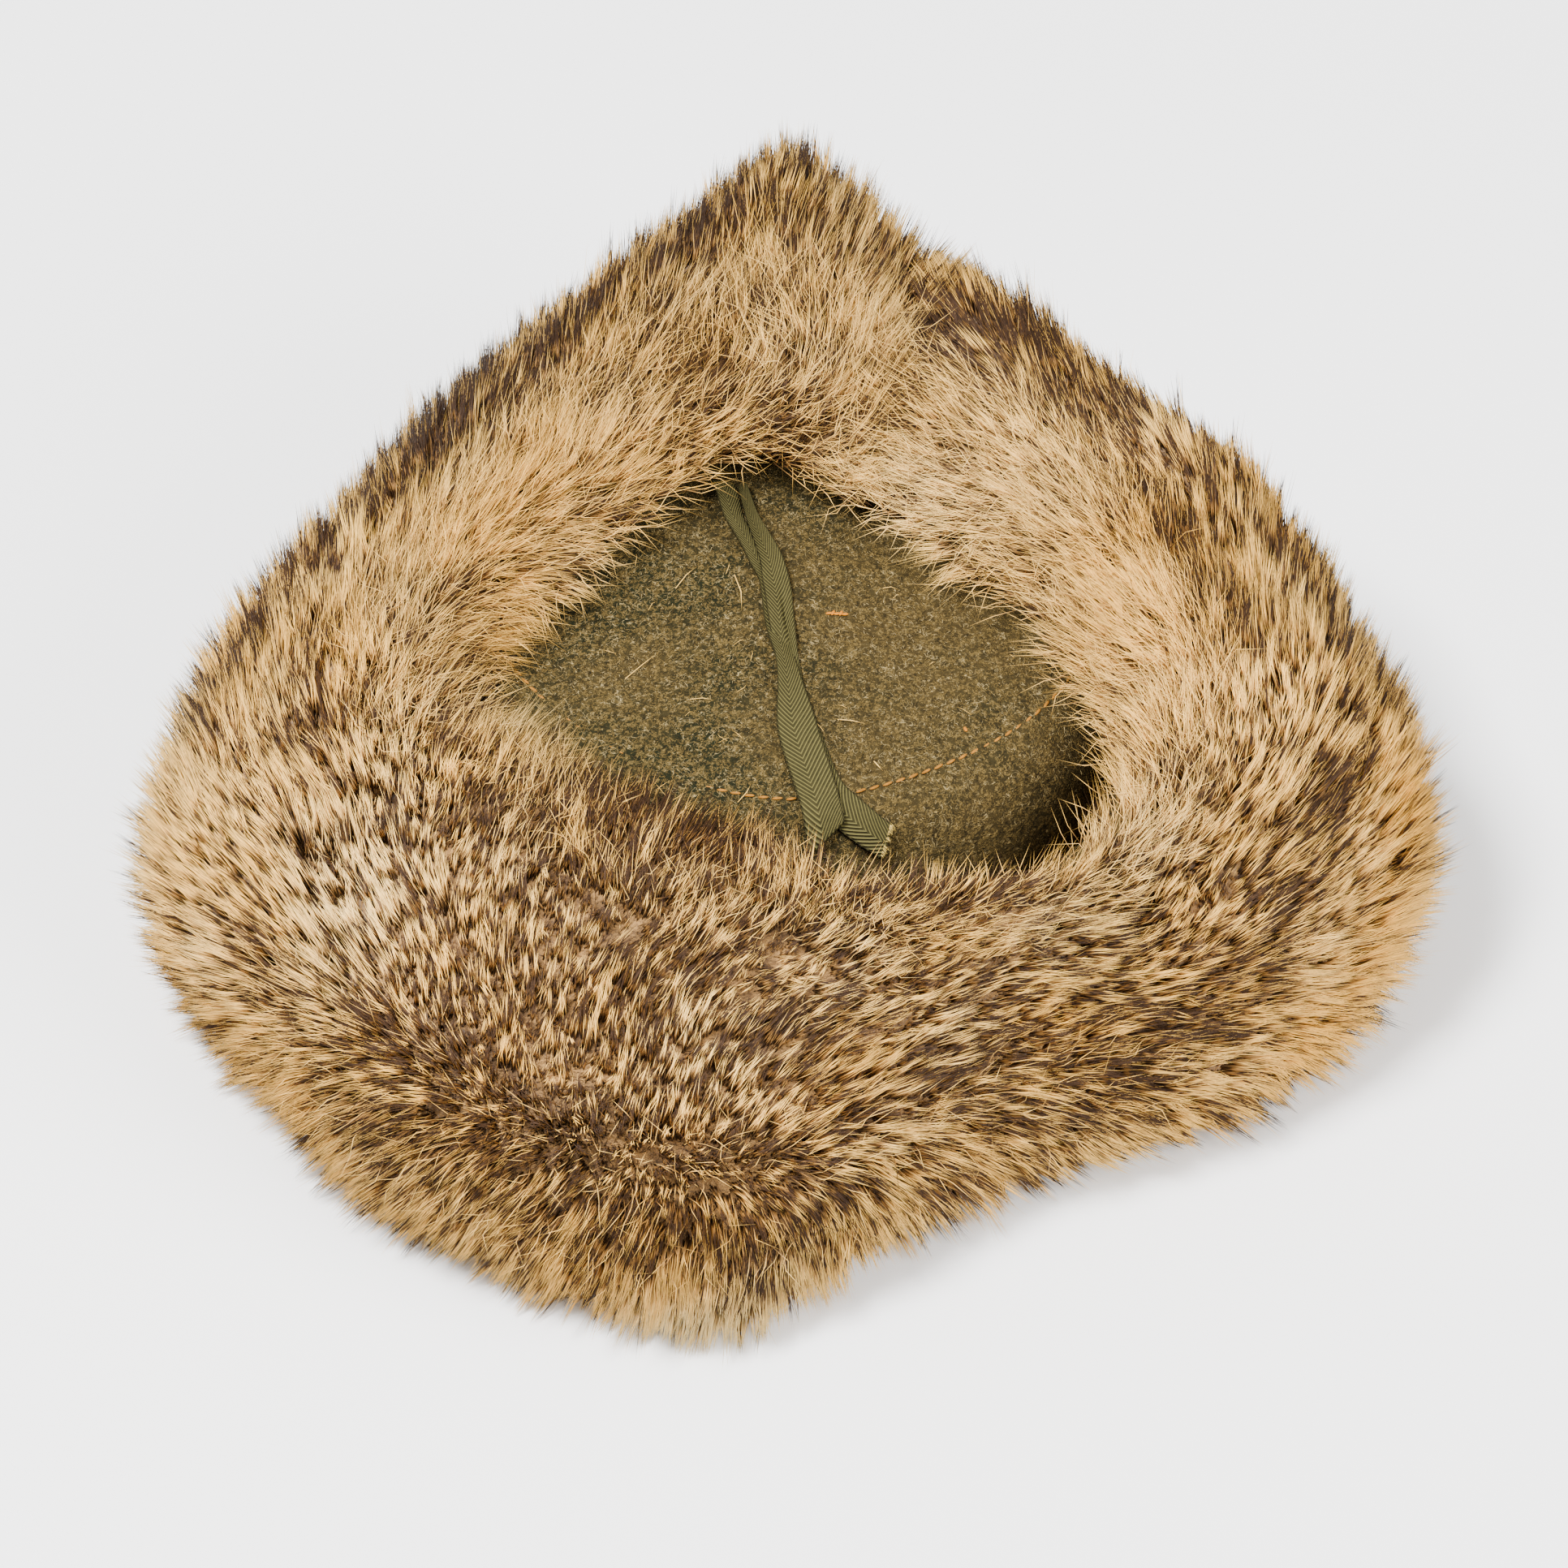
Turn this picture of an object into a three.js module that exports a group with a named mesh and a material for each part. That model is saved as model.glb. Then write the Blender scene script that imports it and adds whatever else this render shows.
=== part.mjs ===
// A winter fur cap: a felted wool crown, a front flap turned up and two ear flaps folded up over the
// crown and tied with tapes. Millimetres, +Z up, the forehead at -Y, standing on its rim and its fur.
import * as THREE from "three";
import { mergeVertices } from "three/addons/utils/BufferGeometryUtils.js";

const FELT = 2.4;
const GAP = 0.35;

// Half sizes of the crown from its middle, at the rim below and at the seam round the top panel. The
// power is 2 for an ellipse, more for a squarer outline and less for a more pointed one.
const RIM = { across: 88, front: 98, back: 94, power: 2.2 };
const SEAM = { across: 80, front: 84, back: 82, power: 1.8 };
const SEAM_HEIGHT = 104;
const SEAM_SLOPE = -0.05;
const SHOULDER_START = 74;
const DOME = 9;
const CROWN_SIDES = 44;
const DENTS = [
  { x: -38, y: -38, radius: 26, depth: 3.2 },
  { x: 30, y: -22, radius: 24, depth: 2.4 },
  { x: -8, y: -66, radius: 14, depth: -1.8 },
  { x: 44, y: -52, radius: 16, depth: -2.0 },
];

// Sections of the fur roll, seen from a point above the visible part of the crown. Each row stands at
// a bearing of the free edge, anticlockwise from +X, and gives the bearing of its foot, then radius
// and height of the edge, the crest, the shoulder and the widest place, the radius of the foot, and how
// far up the fur parts into hair that lies up and hair that lies down.
const MIDDLE = new THREE.Vector2(0, -50);
const SECTIONS = [
  { at: 0, foot: 3, edge: [64, 117], crest: [90, 127], shoulder: [134, 99], wide: [159, 46], base: 150, part: 0.5 },
  { at: 20, foot: 21, edge: [55, 120], crest: [85, 130], shoulder: [139, 92], wide: [156, 50], base: 148, part: 0.5 },
  { at: 34, foot: 34, edge: [50, 123], crest: [84, 131], shoulder: [137, 102], wide: [155, 56], base: 147, part: 0.5 },
  { at: 53, foot: 52, edge: [46, 126], crest: [86, 132], shoulder: [130, 111], wide: [151, 62], base: 147, part: 0.5 },
  { at: 70, foot: 68, edge: [45, 129], crest: [92, 134], shoulder: [135, 119], wide: [160, 62], base: 156, part: 0.5 },
  { at: 78, foot: 76, edge: [46, 131], crest: [96, 138], shoulder: [138, 121], wide: [163, 66], base: 159, part: 0.5 },
  { at: 91, foot: 89, edge: [50, 132], crest: [108, 145], shoulder: [150, 139], wide: [166, 74], base: 160, part: 0.5 },
  { at: 104, foot: 102, edge: [57, 131], crest: [102, 139], shoulder: [141, 125], wide: [163, 66], base: 157, part: 0.5 },
  { at: 122, foot: 121, edge: [55, 128], crest: [89, 134], shoulder: [132, 111], wide: [154, 62], base: 149, part: 0.5 },
  { at: 141, foot: 141, edge: [54, 124], crest: [84, 131], shoulder: [130, 101], wide: [148, 56], base: 143, part: 0.5 },
  { at: 160, foot: 162, edge: [60, 120], crest: [87, 129], shoulder: [136, 90], wide: [155, 50], base: 147, part: 0.52 },
  { at: 175, foot: 184, edge: [70, 117], crest: [92, 125], shoulder: [134, 92], wide: [159, 42], base: 151, part: 0.55 },
  { at: 187, foot: 203, edge: [72, 114], crest: [92, 120], shoulder: [121, 86], wide: [141, 33], base: 135, part: 0.45 },
  { at: 204, foot: 224, edge: [53, 113], crest: [76, 118], shoulder: [108, 83], wide: [131, 31], base: 126, part: 0.38 },
  { at: 235, foot: 245, edge: [44, 113], crest: [63, 116], shoulder: [97, 78], wide: [123, 28], base: 120, part: 0.36 },
  { at: 268, foot: 263, edge: [44, 112], crest: [59, 114], shoulder: [91, 71], wide: [117, 26], base: 117, part: 0.36 },
  { at: 289, foot: 279, edge: [58, 109], crest: [67, 110], shoulder: [85, 69], wide: [101, 26], base: 98, part: 0.28 },
  { at: 305, foot: 299, edge: [67, 106], crest: [76, 107], shoulder: [85, 70], wide: [93, 26], base: 89, part: 0.2 },
  { at: 320, foot: 319, edge: [77, 103], crest: [87, 105], shoulder: [97, 71], wide: [106, 27], base: 101, part: 0.2 },
  { at: 335, foot: 334, edge: [80, 105], crest: [94, 110], shoulder: [114, 77], wide: [126, 30], base: 120, part: 0.3 },
  { at: 348, foot: 347, edge: [74, 111], crest: [93, 120], shoulder: [126, 88], wide: [145, 38], base: 139, part: 0.42 },
];

// Each flap runs between two bearings of the free edge. Its locks are as wide as two columns.
const FLAPS = [
  { name: "right_ear_flap", from: -36, to: 73, columns: 50, lean: 3 },
  { name: "left_ear_flap", from: 73, to: 190, columns: 54, lean: -3 },
  { name: "front_flap", from: 190, to: 324, columns: 50, lean: 5 },
];
const ROWS_UP = 5;
const ROWS_DOWN = 3;
const LOCK = { root: -4.5, tip: 2.5, long: 0.42, short: -0.28, uneven: 0.16 };
const END_TUCK = { depth: 5, reach: 4 };
const FLAP_GAP = 0.6;
const RIM_HEIGHT = 8;
const CROWN_CLEARANCE = 2.2;
const CLEARING_PASSES = 6;
const SOLE_INSET = 8;
const LIP = 9;

// Heights at which a flap's inner side lies on the crown, and how far it draws in at the flap's ends.
const INNER_HEIGHTS = [99, 88, 66, 34];
const INNER_TUCK = 2.5;

// Where the free edge stands off the crown, a recess this deep is left open behind it.
const RECESS = { depth: 18, fullAt: 18 };

// The ties lie over the crown. Each row gives the middle of the tape, how far it lies above the
// crown, how it rolls about its length in degrees, and its visible width.
const TAPE_THICKNESS = 1.1;
const TAPES = {
  left_tie_tape: [
    { x: -17, y: 8, lift: 3.2, roll: -6, width: 10 },
    { x: -15, y: 1, lift: 3.2, roll: -6, width: 10 },
    { x: -12, y: -7, lift: 3.2, roll: -6, width: 10 },
    { x: -8, y: -17, lift: 3.4, roll: -4, width: 9 },
    { x: -4.5, y: -28, lift: 3.4, roll: 0, width: 9 },
    { x: -2.5, y: -38, lift: 3.2, roll: 4, width: 9 },
    { x: -1, y: -48, lift: 3, roll: 2, width: 10 },
    { x: 1, y: -59, lift: 2.8, roll: 0, width: 10 },
    { x: 3, y: -69, lift: 2.8, roll: 0, width: 10 },
    { x: 5.5, y: -79, lift: 3.2, roll: 0, width: 10 },
    { x: 7.8, y: -83.5, lift: 3.1, roll: 0, width: 10 },
    { x: 9.8, y: -87, lift: 3.3, roll: 0, width: 10 },
  ],
  right_tie_tape: [
    { x: -7, y: 8, lift: 1.2, roll: 0, width: 9 },
    { x: -6, y: 1, lift: 1.2, roll: 0, width: 9 },
    { x: -4, y: -8, lift: 1.2, roll: 0, width: 9 },
    { x: -1.5, y: -18, lift: 1.2, roll: 0, width: 9 },
    { x: 1, y: -29, lift: 1.2, roll: 0, width: 9 },
    { x: 2.5, y: -40, lift: 1.2, roll: 0, width: 9 },
    { x: 2.5, y: -50, lift: 1.2, roll: 0, width: 9 },
    { x: 3.5, y: -60, lift: 1.2, roll: 0, width: 10 },
    { x: 6, y: -70, lift: 1.2, roll: 0, width: 10 },
    { x: 10.5, y: -79, lift: 1.4, roll: 0, width: 10 },
    { x: 15.5, y: -86.5, lift: 1.5, roll: 0, width: 10 },
    { x: 20.5, y: -92, lift: 2.4, roll: 0, width: 10 },
  ],
};

const LOOKS = {
  wool: new THREE.MeshStandardMaterial({ color: "#56503a", roughness: 0.95, metalness: 0 }),
  fur: new THREE.MeshStandardMaterial({ color: "#a98658", roughness: 0.9, metalness: 0 }),
  tape: new THREE.MeshStandardMaterial({ color: "#5d5a3a", roughness: 0.9, metalness: 0 }),
};

const { lerp, degToRad, smoothstep } = THREE.MathUtils;

// Repeatable noise between 0 and 1 for a lock's number.
function noise(number) {
  const wave = Math.sin(number * 12.9898 + 4.1414) * 43758.5453;
  return wave - Math.floor(wave);
}

// A closed mesh from closed sections of equal length, joined end to end or capped at both ends. The
// caps are cut into triangles in the plane of the flat outlines given for the two ends.
function loft(sections, endOutlines) {
  const count = sections[0].length;
  const positions = sections.flat().flatMap((p) => [p.x, p.y, p.z]);
  const faces = [];
  const joined = endOutlines ? sections.length - 1 : sections.length;
  for (let i = 0; i < joined; i += 1) {
    const next = (i + 1) % sections.length;
    for (let k = 0; k < count; k += 1) {
      const after = (k + 1) % count;
      const a = i * count + k;
      const b = i * count + after;
      const c = next * count + after;
      const d = next * count + k;
      faces.push(a, b, c, a, c, d);
    }
  }
  if (endOutlines) {
    const last = (sections.length - 1) * count;
    const startFaces = THREE.ShapeUtils.triangulateShape(endOutlines[0], []);
    const endFaces = THREE.ShapeUtils.triangulateShape(endOutlines[1], []);
    startFaces.forEach(([a, b, c]) => faces.push(a, c, b));
    endFaces.forEach(([a, b, c]) => faces.push(last + a, last + b, last + c));
  }
  return facingOut(positions, faces);
}

// A closed mesh from rings between a first and a last single point.
function capped(first, rings, last) {
  const count = rings[0].length;
  const points = [first, ...rings.flat(), last];
  const positions = points.flatMap((p) => [p.x, p.y, p.z]);
  const faces = [];
  const end = points.length - 1;
  for (let k = 0; k < count; k += 1) {
    const after = (k + 1) % count;
    faces.push(0, 1 + k, 1 + after);
    rings.slice(1).forEach((_, i) => {
      const low = 1 + i * count;
      const high = low + count;
      faces.push(low + k, high + k, high + after, low + k, high + after, low + after);
    });
    const ring = 1 + (rings.length - 1) * count;
    faces.push(ring + k, end, ring + after);
  }
  return facingOut(positions, faces);
}

// Turns every face round where the mesh's volume comes out negative.
function facingOut(positions, faces) {
  const corner = (i) => new THREE.Vector3().fromArray(positions, i * 3);
  let volume = 0;
  for (let i = 0; i < faces.length; i += 3) {
    const [a, b, c] = faces.slice(i, i + 3).map(corner);
    volume += a.dot(b.cross(c));
  }
  const geometry = new THREE.BufferGeometry();
  geometry.setAttribute("position", new THREE.Float32BufferAttribute(positions, 3));
  geometry.setIndex(volume < 0 ? faces.slice().reverse() : faces);
  const merged = mergeVertices(geometry, 1e-3);
  merged.computeVertexNormals();
  return merged;
}

const signedPower = (value, power) => Math.sign(value) * Math.abs(value) ** power;

// The crown's outline between the rim, at 0, and the seam, at 1.
function outline(blend) {
  const size = {};
  Object.keys(RIM).forEach((key) => {
    size[key] = lerp(RIM[key], SEAM[key], blend);
  });
  return size;
}

function onOutline(size, angle, shrink = 0) {
  const along = (2 / size.power);
  const depth = Math.sin(angle) < 0 ? size.front : size.back;
  const x = (size.across - shrink) * signedPower(Math.cos(angle), along);
  const y = (depth - shrink) * signedPower(Math.sin(angle), along);
  return new THREE.Vector2(x, y);
}

function outlineMeasure(size, x, y) {
  const depth = y < 0 ? size.front : size.back;
  const sum = Math.abs(x / size.across) ** size.power + Math.abs(y / depth) ** size.power;
  return sum ** (1 / size.power);
}

const seamHeight = (y) => SEAM_HEIGHT + SEAM_SLOPE * y;

function dentDepth(x, y) {
  const depthOf = (d) => d.depth * Math.exp(-((x - d.x) ** 2 + (y - d.y) ** 2) / d.radius ** 2);
  return DENTS.reduce((sum, d) => sum + depthOf(d), 0);
}

function topPanelHeight(x, y) {
  const out = Math.min(outlineMeasure(SEAM, x, y), 1);
  return seamHeight(y) + (1 - out ** 2) * (DOME - dentDepth(x, y));
}

// The height of the crown's outer surface over a point of the ground plane, 0 outside it.
function crownHeight(x, y) {
  if (outlineMeasure(SEAM, x, y) <= 1) return topPanelHeight(x, y);
  if (outlineMeasure(RIM, x, y) >= 1) return 0;
  let low = 0;
  let high = 1;
  for (let i = 0; i < 24; i += 1) {
    const mid = (low + high) / 2;
    if (outlineMeasure(outline(mid), x, y) > 1) high = mid;
    else low = mid;
  }
  const rise = Math.sqrt(1 - (1 - low) ** 2);
  return SHOULDER_START + (seamHeight(y) - SHOULDER_START) * rise;
}

// How far the crown reaches from MIDDLE along a bearing, at a height.
function crownReach(bearing, height) {
  let low = 0;
  let high = 260;
  for (let i = 0; i < 24; i += 1) {
    const mid = (low + high) / 2;
    const x = MIDDLE.x + mid * Math.cos(bearing);
    const y = MIDDLE.y + mid * Math.sin(bearing);
    if (crownHeight(x, y) > height) low = mid;
    else high = mid;
  }
  return low;
}

const ringAngles = Array.from({ length: CROWN_SIDES }, (_, i) => (i / CROWN_SIDES) * 2 * Math.PI);

function crownSideBand() {
  const outside = [0, 0.45, 0.75, 1];
  const bends = [0.25, 0.5, 0.75, 1];
  const levels = [
    ...outside.map((part) => ({ blend: 0, rise: 0, straight: part })),
    ...bends.map((part) => {
      const turn = (part * Math.PI) / 2;
      return { blend: 1 - Math.cos(turn), rise: Math.sin(turn), straight: 1 };
    }),
  ];
  const wallPoint = (level, angle, inset) => {
    const flat = onOutline(outline(level.blend), angle, inset);
    const top = seamHeight(flat.y) - inset;
    const z = level.straight * SHOULDER_START + (top - SHOULDER_START) * level.rise;
    return new THREE.Vector3(flat.x, flat.y, z);
  };
  const sections = ringAngles.map((angle) => [
    ...levels.map((level) => wallPoint(level, angle, 0)),
    ...levels.toReversed().map((level) => wallPoint(level, angle, FELT)),
  ]);
  return loft(sections);
}

function crownTopPanel() {
  const steps = [1, 0.82, 0.6, 0.36, 0.16];
  const ringAt = (step, inset, drop) => ringAngles.map((angle) => {
    const edge = onOutline(SEAM, angle, inset);
    const flat = edge.multiplyScalar(step);
    return new THREE.Vector3(flat.x, flat.y, topPanelHeight(flat.x, flat.y) - drop);
  });
  const above = steps.map((step) => ringAt(step, 2 * GAP, 0));
  const below = steps.toReversed().map((step) => ringAt(step, 2 * GAP + FELT, FELT));
  const middle = topPanelHeight(0, 0);
  const top = new THREE.Vector3(0, 0, middle);
  const bottom = new THREE.Vector3(0, 0, middle - FELT);
  return capped(top, [...above.toReversed(), ...below.toReversed()], bottom);
}

// One value of the section table at a bearing, on a smooth curve through the rows.
function sectionValue(bearing, read) {
  const wrapped = ((bearing % 360) + 360) % 360;
  const rows = SECTIONS.length;
  let i = rows - 1;
  while (SECTIONS[i].at > wrapped) i -= 1;
  const turnOf = (k) => Math.floor(k / rows) * 360;
  const row = (k) => SECTIONS[((k % rows) + rows) % rows];
  const place = (k) => row(k).at + turnOf(k);
  const value = (k) => read(row(k), turnOf(k));
  const slope = (k) => (value(k + 1) - value(k - 1)) / (place(k + 1) - place(k - 1));
  const span = place(i + 1) - place(i);
  const t = (wrapped - place(i)) / span;
  const blend = t * t * (3 - 2 * t);
  const bend = t * (1 - t) * span * ((1 - t) * slope(i) - t * slope(i + 1));
  return lerp(value(i), value(i + 1), blend) + bend;
}

// The outer line of the fur at a bearing, from the foot at 0 to the free edge at 1.
function furProfile(bearing) {
  const at = (key, part) => sectionValue(bearing, (row) => row[key][part]);
  const points = ["wide", "shoulder", "crest", "edge"].map((key) => [at(key, 0), at(key, 1)]);
  const base = sectionValue(bearing, (row) => row.base);
  const line = [[base, 3], ...points].map(([r, z]) => new THREE.Vector3(r, 0, z));
  const curve = new THREE.CatmullRomCurve3(line, false, "centripetal");
  const turns = Math.floor(bearing / 360) * 360;
  return {
    curve,
    edgeBearing: bearing,
    footBearing: sectionValue(bearing, (row, turn) => row.foot + turn) + turns,
    part: sectionValue(bearing, (row) => row.part),
  };
}

// A point of a section: how far along the outer line, how far out of it, and how far round from the
// section, in millimetres. The result is a radius, a height and a bearing.
function sectionPoint(profile, along, out, round = 0) {
  const on = THREE.MathUtils.clamp(along, 0, 1);
  const point = profile.curve.getPointAt(on);
  const tangent = profile.curve.getTangentAt(on);
  const extra = (along - on) * profile.curve.getLength();
  const r = point.x + tangent.x * extra + tangent.z * out;
  const z = point.z + tangent.z * extra - tangent.x * out;
  const bearing = degToRad(lerp(profile.footBearing, profile.edgeBearing, on));
  return { r, z: Math.max(z, 0.8), bearing: bearing + round / r };
}

// Moves a point of a section off the crown, the shorter way.
function offCrown(point) {
  const x = MIDDLE.x + point.r * Math.cos(point.bearing);
  const y = MIDDLE.y + point.r * Math.sin(point.bearing);
  const up = crownHeight(x, y) + CROWN_CLEARANCE - point.z;
  const outward = crownReach(point.bearing, point.z) + CROWN_CLEARANCE - point.r;
  if (up <= 0 || outward <= 0) return point;
  return up < outward
    ? { ...point, z: point.z + up }
    : { ...point, r: point.r + outward };
}

// The inner line of a flap below its lip, which lies on the crown down to the rim.
function alongCrown(profile, lip) {
  const top = INNER_HEIGHTS[0];
  const standOff = lip.r - crownReach(lip.bearing, top);
  const recess = RECESS.depth * smoothstep(standOff, 0, RECESS.fullAt);
  const wall = INNER_HEIGHTS.map((height) => {
    const z = height - recess * (height / top) ** 2;
    const part = Math.min(z / lip.z, 1);
    const bearing = degToRad(lerp(profile.footBearing, profile.edgeBearing, part));
    return { r: crownReach(bearing, z) + CROWN_CLEARANCE, z, bearing };
  });
  const r = (lip.r + wall[0].r) / 2;
  const x = MIDDLE.x + r * Math.cos(lip.bearing);
  const y = MIDDLE.y + r * Math.sin(lip.bearing);
  const onTop = Math.max(crownHeight(x, y), wall[0].z) + CROWN_CLEARANCE;
  return [{ r, z: Math.min(onTop, lip.z - recess / 3), bearing: lip.bearing }, ...wall];
}

// Spreads the points of a flap's inner line until the straight stretches between them are clear too.
function clearOfCrown(points) {
  const line = points.map(offCrown);
  for (let pass = 0; pass < CLEARING_PASSES; pass += 1) {
    for (let i = 1; i < line.length; i += 1) {
      const [a, b] = [line[i - 1], line[i]];
      const middle = { r: (a.r + b.r) / 2, z: (a.z + b.z) / 2, bearing: (a.bearing + b.bearing) / 2 };
      const moved = offCrown(middle);
      [i - 1, i].forEach((end) => {
        line[end].r += moved.r - middle.r;
        line[end].z += moved.z - middle.z;
      });
    }
  }
  return line;
}

// The section of a flap: rows of overlapping locks outside, the hide's line inside, and a flat sole.
function flapSection(profile, column, flap) {
  const fromEnd = Math.min(column, flap.columns - column);
  const tuck = END_TUCK.depth * (1 - smoothstep(fromEnd, 0, END_TUCK.reach));
  const reach = (row) => {
    const long = (column + row) % 2 === 0 ? LOCK.long : LOCK.short;
    const seed = column + 101 * row + 977 * FLAPS.indexOf(flap);
    return 1 + long + LOCK.uneven * (2 * noise(seed) - 1);
  };
  const root = LOCK.root - tuck;
  const tip = LOCK.tip - tuck;
  const upStep = (1 - profile.part) / ROWS_UP;
  const downStep = profile.part / ROWS_DOWN;
  const lean = flap.lean * smoothstep(fromEnd, 1, END_TUCK.reach);
  const points = [];
  for (let row = ROWS_DOWN - 1; row >= 0; row -= 1) {
    const from = profile.part - row * downStep;
    const last = row === ROWS_DOWN - 1 ? 0.75 : 1;
    points.push(sectionPoint(profile, from - downStep * reach(row + 11) * last, tip, -lean));
    points.push(sectionPoint(profile, from, root));
  }
  for (let row = 0; row < ROWS_UP; row += 1) {
    const from = profile.part + row * upStep;
    if (row > 0) points.push(sectionPoint(profile, from, root));
    points.push(sectionPoint(profile, from + upStep * reach(row), tip, lean));
  }
  const lip = sectionPoint(profile, 1, -LIP - tuck / 2);
  const foot = degToRad(profile.footBearing);
  const rim = crownReach(foot, 1) + 2 * GAP;
  const base = profile.curve.getPointAt(0).x;
  const inward = (column < flap.columns / 2 ? 1 : -1) * INNER_TUCK * (tuck / END_TUCK.depth);
  const inner = clearOfCrown([lip, ...alongCrown(profile, lip)]);
  points.push(...inner.map((point) => ({ ...point, bearing: point.bearing + inward / point.r })));
  points.push({ r: rim, z: RIM_HEIGHT, bearing: foot });
  points.push({ r: rim, z: 0, bearing: foot });
  points.push({ r: Math.max(base - SOLE_INSET - tuck / 2, rim + 3), z: 0, bearing: foot });
  return points;
}

function inSpace({ r, z, bearing }) {
  return new THREE.Vector3(MIDDLE.x + r * Math.cos(bearing), MIDDLE.y + r * Math.sin(bearing), z);
}

function furFlap(flap) {
  const inset = FLAP_GAP;
  const sections = [];
  for (let column = 0; column <= flap.columns; column += 1) {
    const bearing = lerp(flap.from + inset, flap.to - inset, column / flap.columns);
    sections.push(flapSection(furProfile(bearing), column, flap));
  }
  const flat = (section) => section.map(({ r, z }) => new THREE.Vector2(r, z));
  const ends = [flat(sections[0]), flat(sections.at(-1))];
  return loft(sections.map((section) => section.map(inSpace)), ends);
}

function tieTape(rows) {
  const onCrown = (x, y) => new THREE.Vector3(x, y, crownHeight(x, y));
  const sections = rows.map(({ x, y, lift, roll, width }, i) => {
    const before = rows[Math.max(i - 1, 0)];
    const after = rows[Math.min(i + 1, rows.length - 1)];
    const along = onCrown(after.x, after.y).sub(onCrown(before.x, before.y)).normalize();
    const side = new THREE.Vector2(-along.y, along.x).setLength(width / 2);
    const left = onCrown(x - side.x, y - side.y);
    const right = onCrown(x + side.x, y + side.y);
    const across = right.clone().sub(left).setLength(width / 2);
    across.applyAxisAngle(along, degToRad(roll));
    const up = across.clone().cross(along).normalize();
    if (up.z < 0) up.negate();
    const middle = left.add(right).multiplyScalar(0.5).addScaledVector(up, lift);
    up.multiplyScalar(TAPE_THICKNESS / 2);
    const corners = [[-1, -1], [1, -1], [1, 1], [-1, 1]];
    return corners.map(([a, b]) => middle.clone().addScaledVector(across, a).addScaledVector(up, b));
  });
  const square = [[-1, -1], [1, -1], [1, 1], [-1, 1]].map(([a, b]) => new THREE.Vector2(a, b));
  return loft(sections, [square, square]);
}

function piece(name, geometry, material) {
  const mesh = new THREE.Mesh(geometry, material);
  mesh.name = name;
  return mesh;
}

const cap = new THREE.Group();
cap.add(piece("crown_side_band", crownSideBand(), LOOKS.wool));
cap.add(piece("crown_top_panel", crownTopPanel(), LOOKS.wool));
FLAPS.forEach((flap) => cap.add(piece(flap.name, furFlap(flap), LOOKS.fur)));
Object.entries(TAPES).forEach(([name, rows]) => cap.add(piece(name, tieTape(rows), LOOKS.tape)));

// The origin is on the ground, under the middle of everything.
const box = new THREE.Box3().setFromObject(cap);
const centre = box.getCenter(new THREE.Vector3());
cap.position.set(-centre.x, -centre.y, -box.min.z);

export default cap;
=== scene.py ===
"""A winter cap of felted wool with rabbit fur flaps turned up and tied over the crown."""

import math
from functools import cache

import bmesh
import bpy
import numpy as np
from bpy.props import FloatProperty, FloatVectorProperty, IntProperty, PointerProperty
from bpy.types import Operator, Panel, PropertyGroup
from mathutils import Matrix, Vector
from mathutils.kdtree import KDTree


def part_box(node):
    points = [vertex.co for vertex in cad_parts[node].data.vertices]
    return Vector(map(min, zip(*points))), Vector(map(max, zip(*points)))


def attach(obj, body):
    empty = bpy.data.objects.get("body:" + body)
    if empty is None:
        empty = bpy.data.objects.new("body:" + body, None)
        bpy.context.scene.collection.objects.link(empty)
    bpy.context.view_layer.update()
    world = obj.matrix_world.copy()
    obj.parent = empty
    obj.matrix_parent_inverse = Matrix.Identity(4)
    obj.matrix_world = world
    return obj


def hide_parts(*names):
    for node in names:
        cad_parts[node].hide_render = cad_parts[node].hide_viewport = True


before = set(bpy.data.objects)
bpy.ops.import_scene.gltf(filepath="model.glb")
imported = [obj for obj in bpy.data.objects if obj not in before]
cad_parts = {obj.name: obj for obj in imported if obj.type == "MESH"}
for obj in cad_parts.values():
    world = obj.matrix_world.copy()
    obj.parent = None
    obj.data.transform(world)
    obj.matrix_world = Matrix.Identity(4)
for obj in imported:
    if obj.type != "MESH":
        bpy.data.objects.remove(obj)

bl_info = {
    "name": "Fur Cap with Ear Flaps",
    "version": (1, 0, 0),
    "blender": (4, 5, 0),
    "location": "View3D > Sidebar > Fur Cap",
    "description": "Builds a felted wool crown, three fur flaps and the tapes that tie them",
    "category": "Add Mesh",
}

MM = 0.001
BODY = "root"

# The crown, in millimetres from its middle at the rim below: the outline at the rim and at the seam
# round the top panel, with the power of each outline's curve.
RIM = {"across": 88.0, "front": 98.0, "back": 94.0, "power": 2.2}
SEAM = {"across": 80.0, "front": 84.0, "back": 82.0, "power": 1.8}
SEAM_HEIGHT = 104.0
SEAM_SLOPE = -0.05
SEAM_BULGE = {"angle": -43.0, "spread": 16.0, "out": 2.2}
SHOULDER_START = 74.0
DOME = 9.0
DENTS = (
    {"x": -38, "y": -38, "radius": 26, "depth": 3.2},
    {"x": 30, "y": -22, "radius": 24, "depth": 2.4},
    {"x": -8, "y": -66, "radius": 14, "depth": -1.8},
    {"x": 44, "y": -52, "radius": 16, "depth": -2.0},
)

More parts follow.
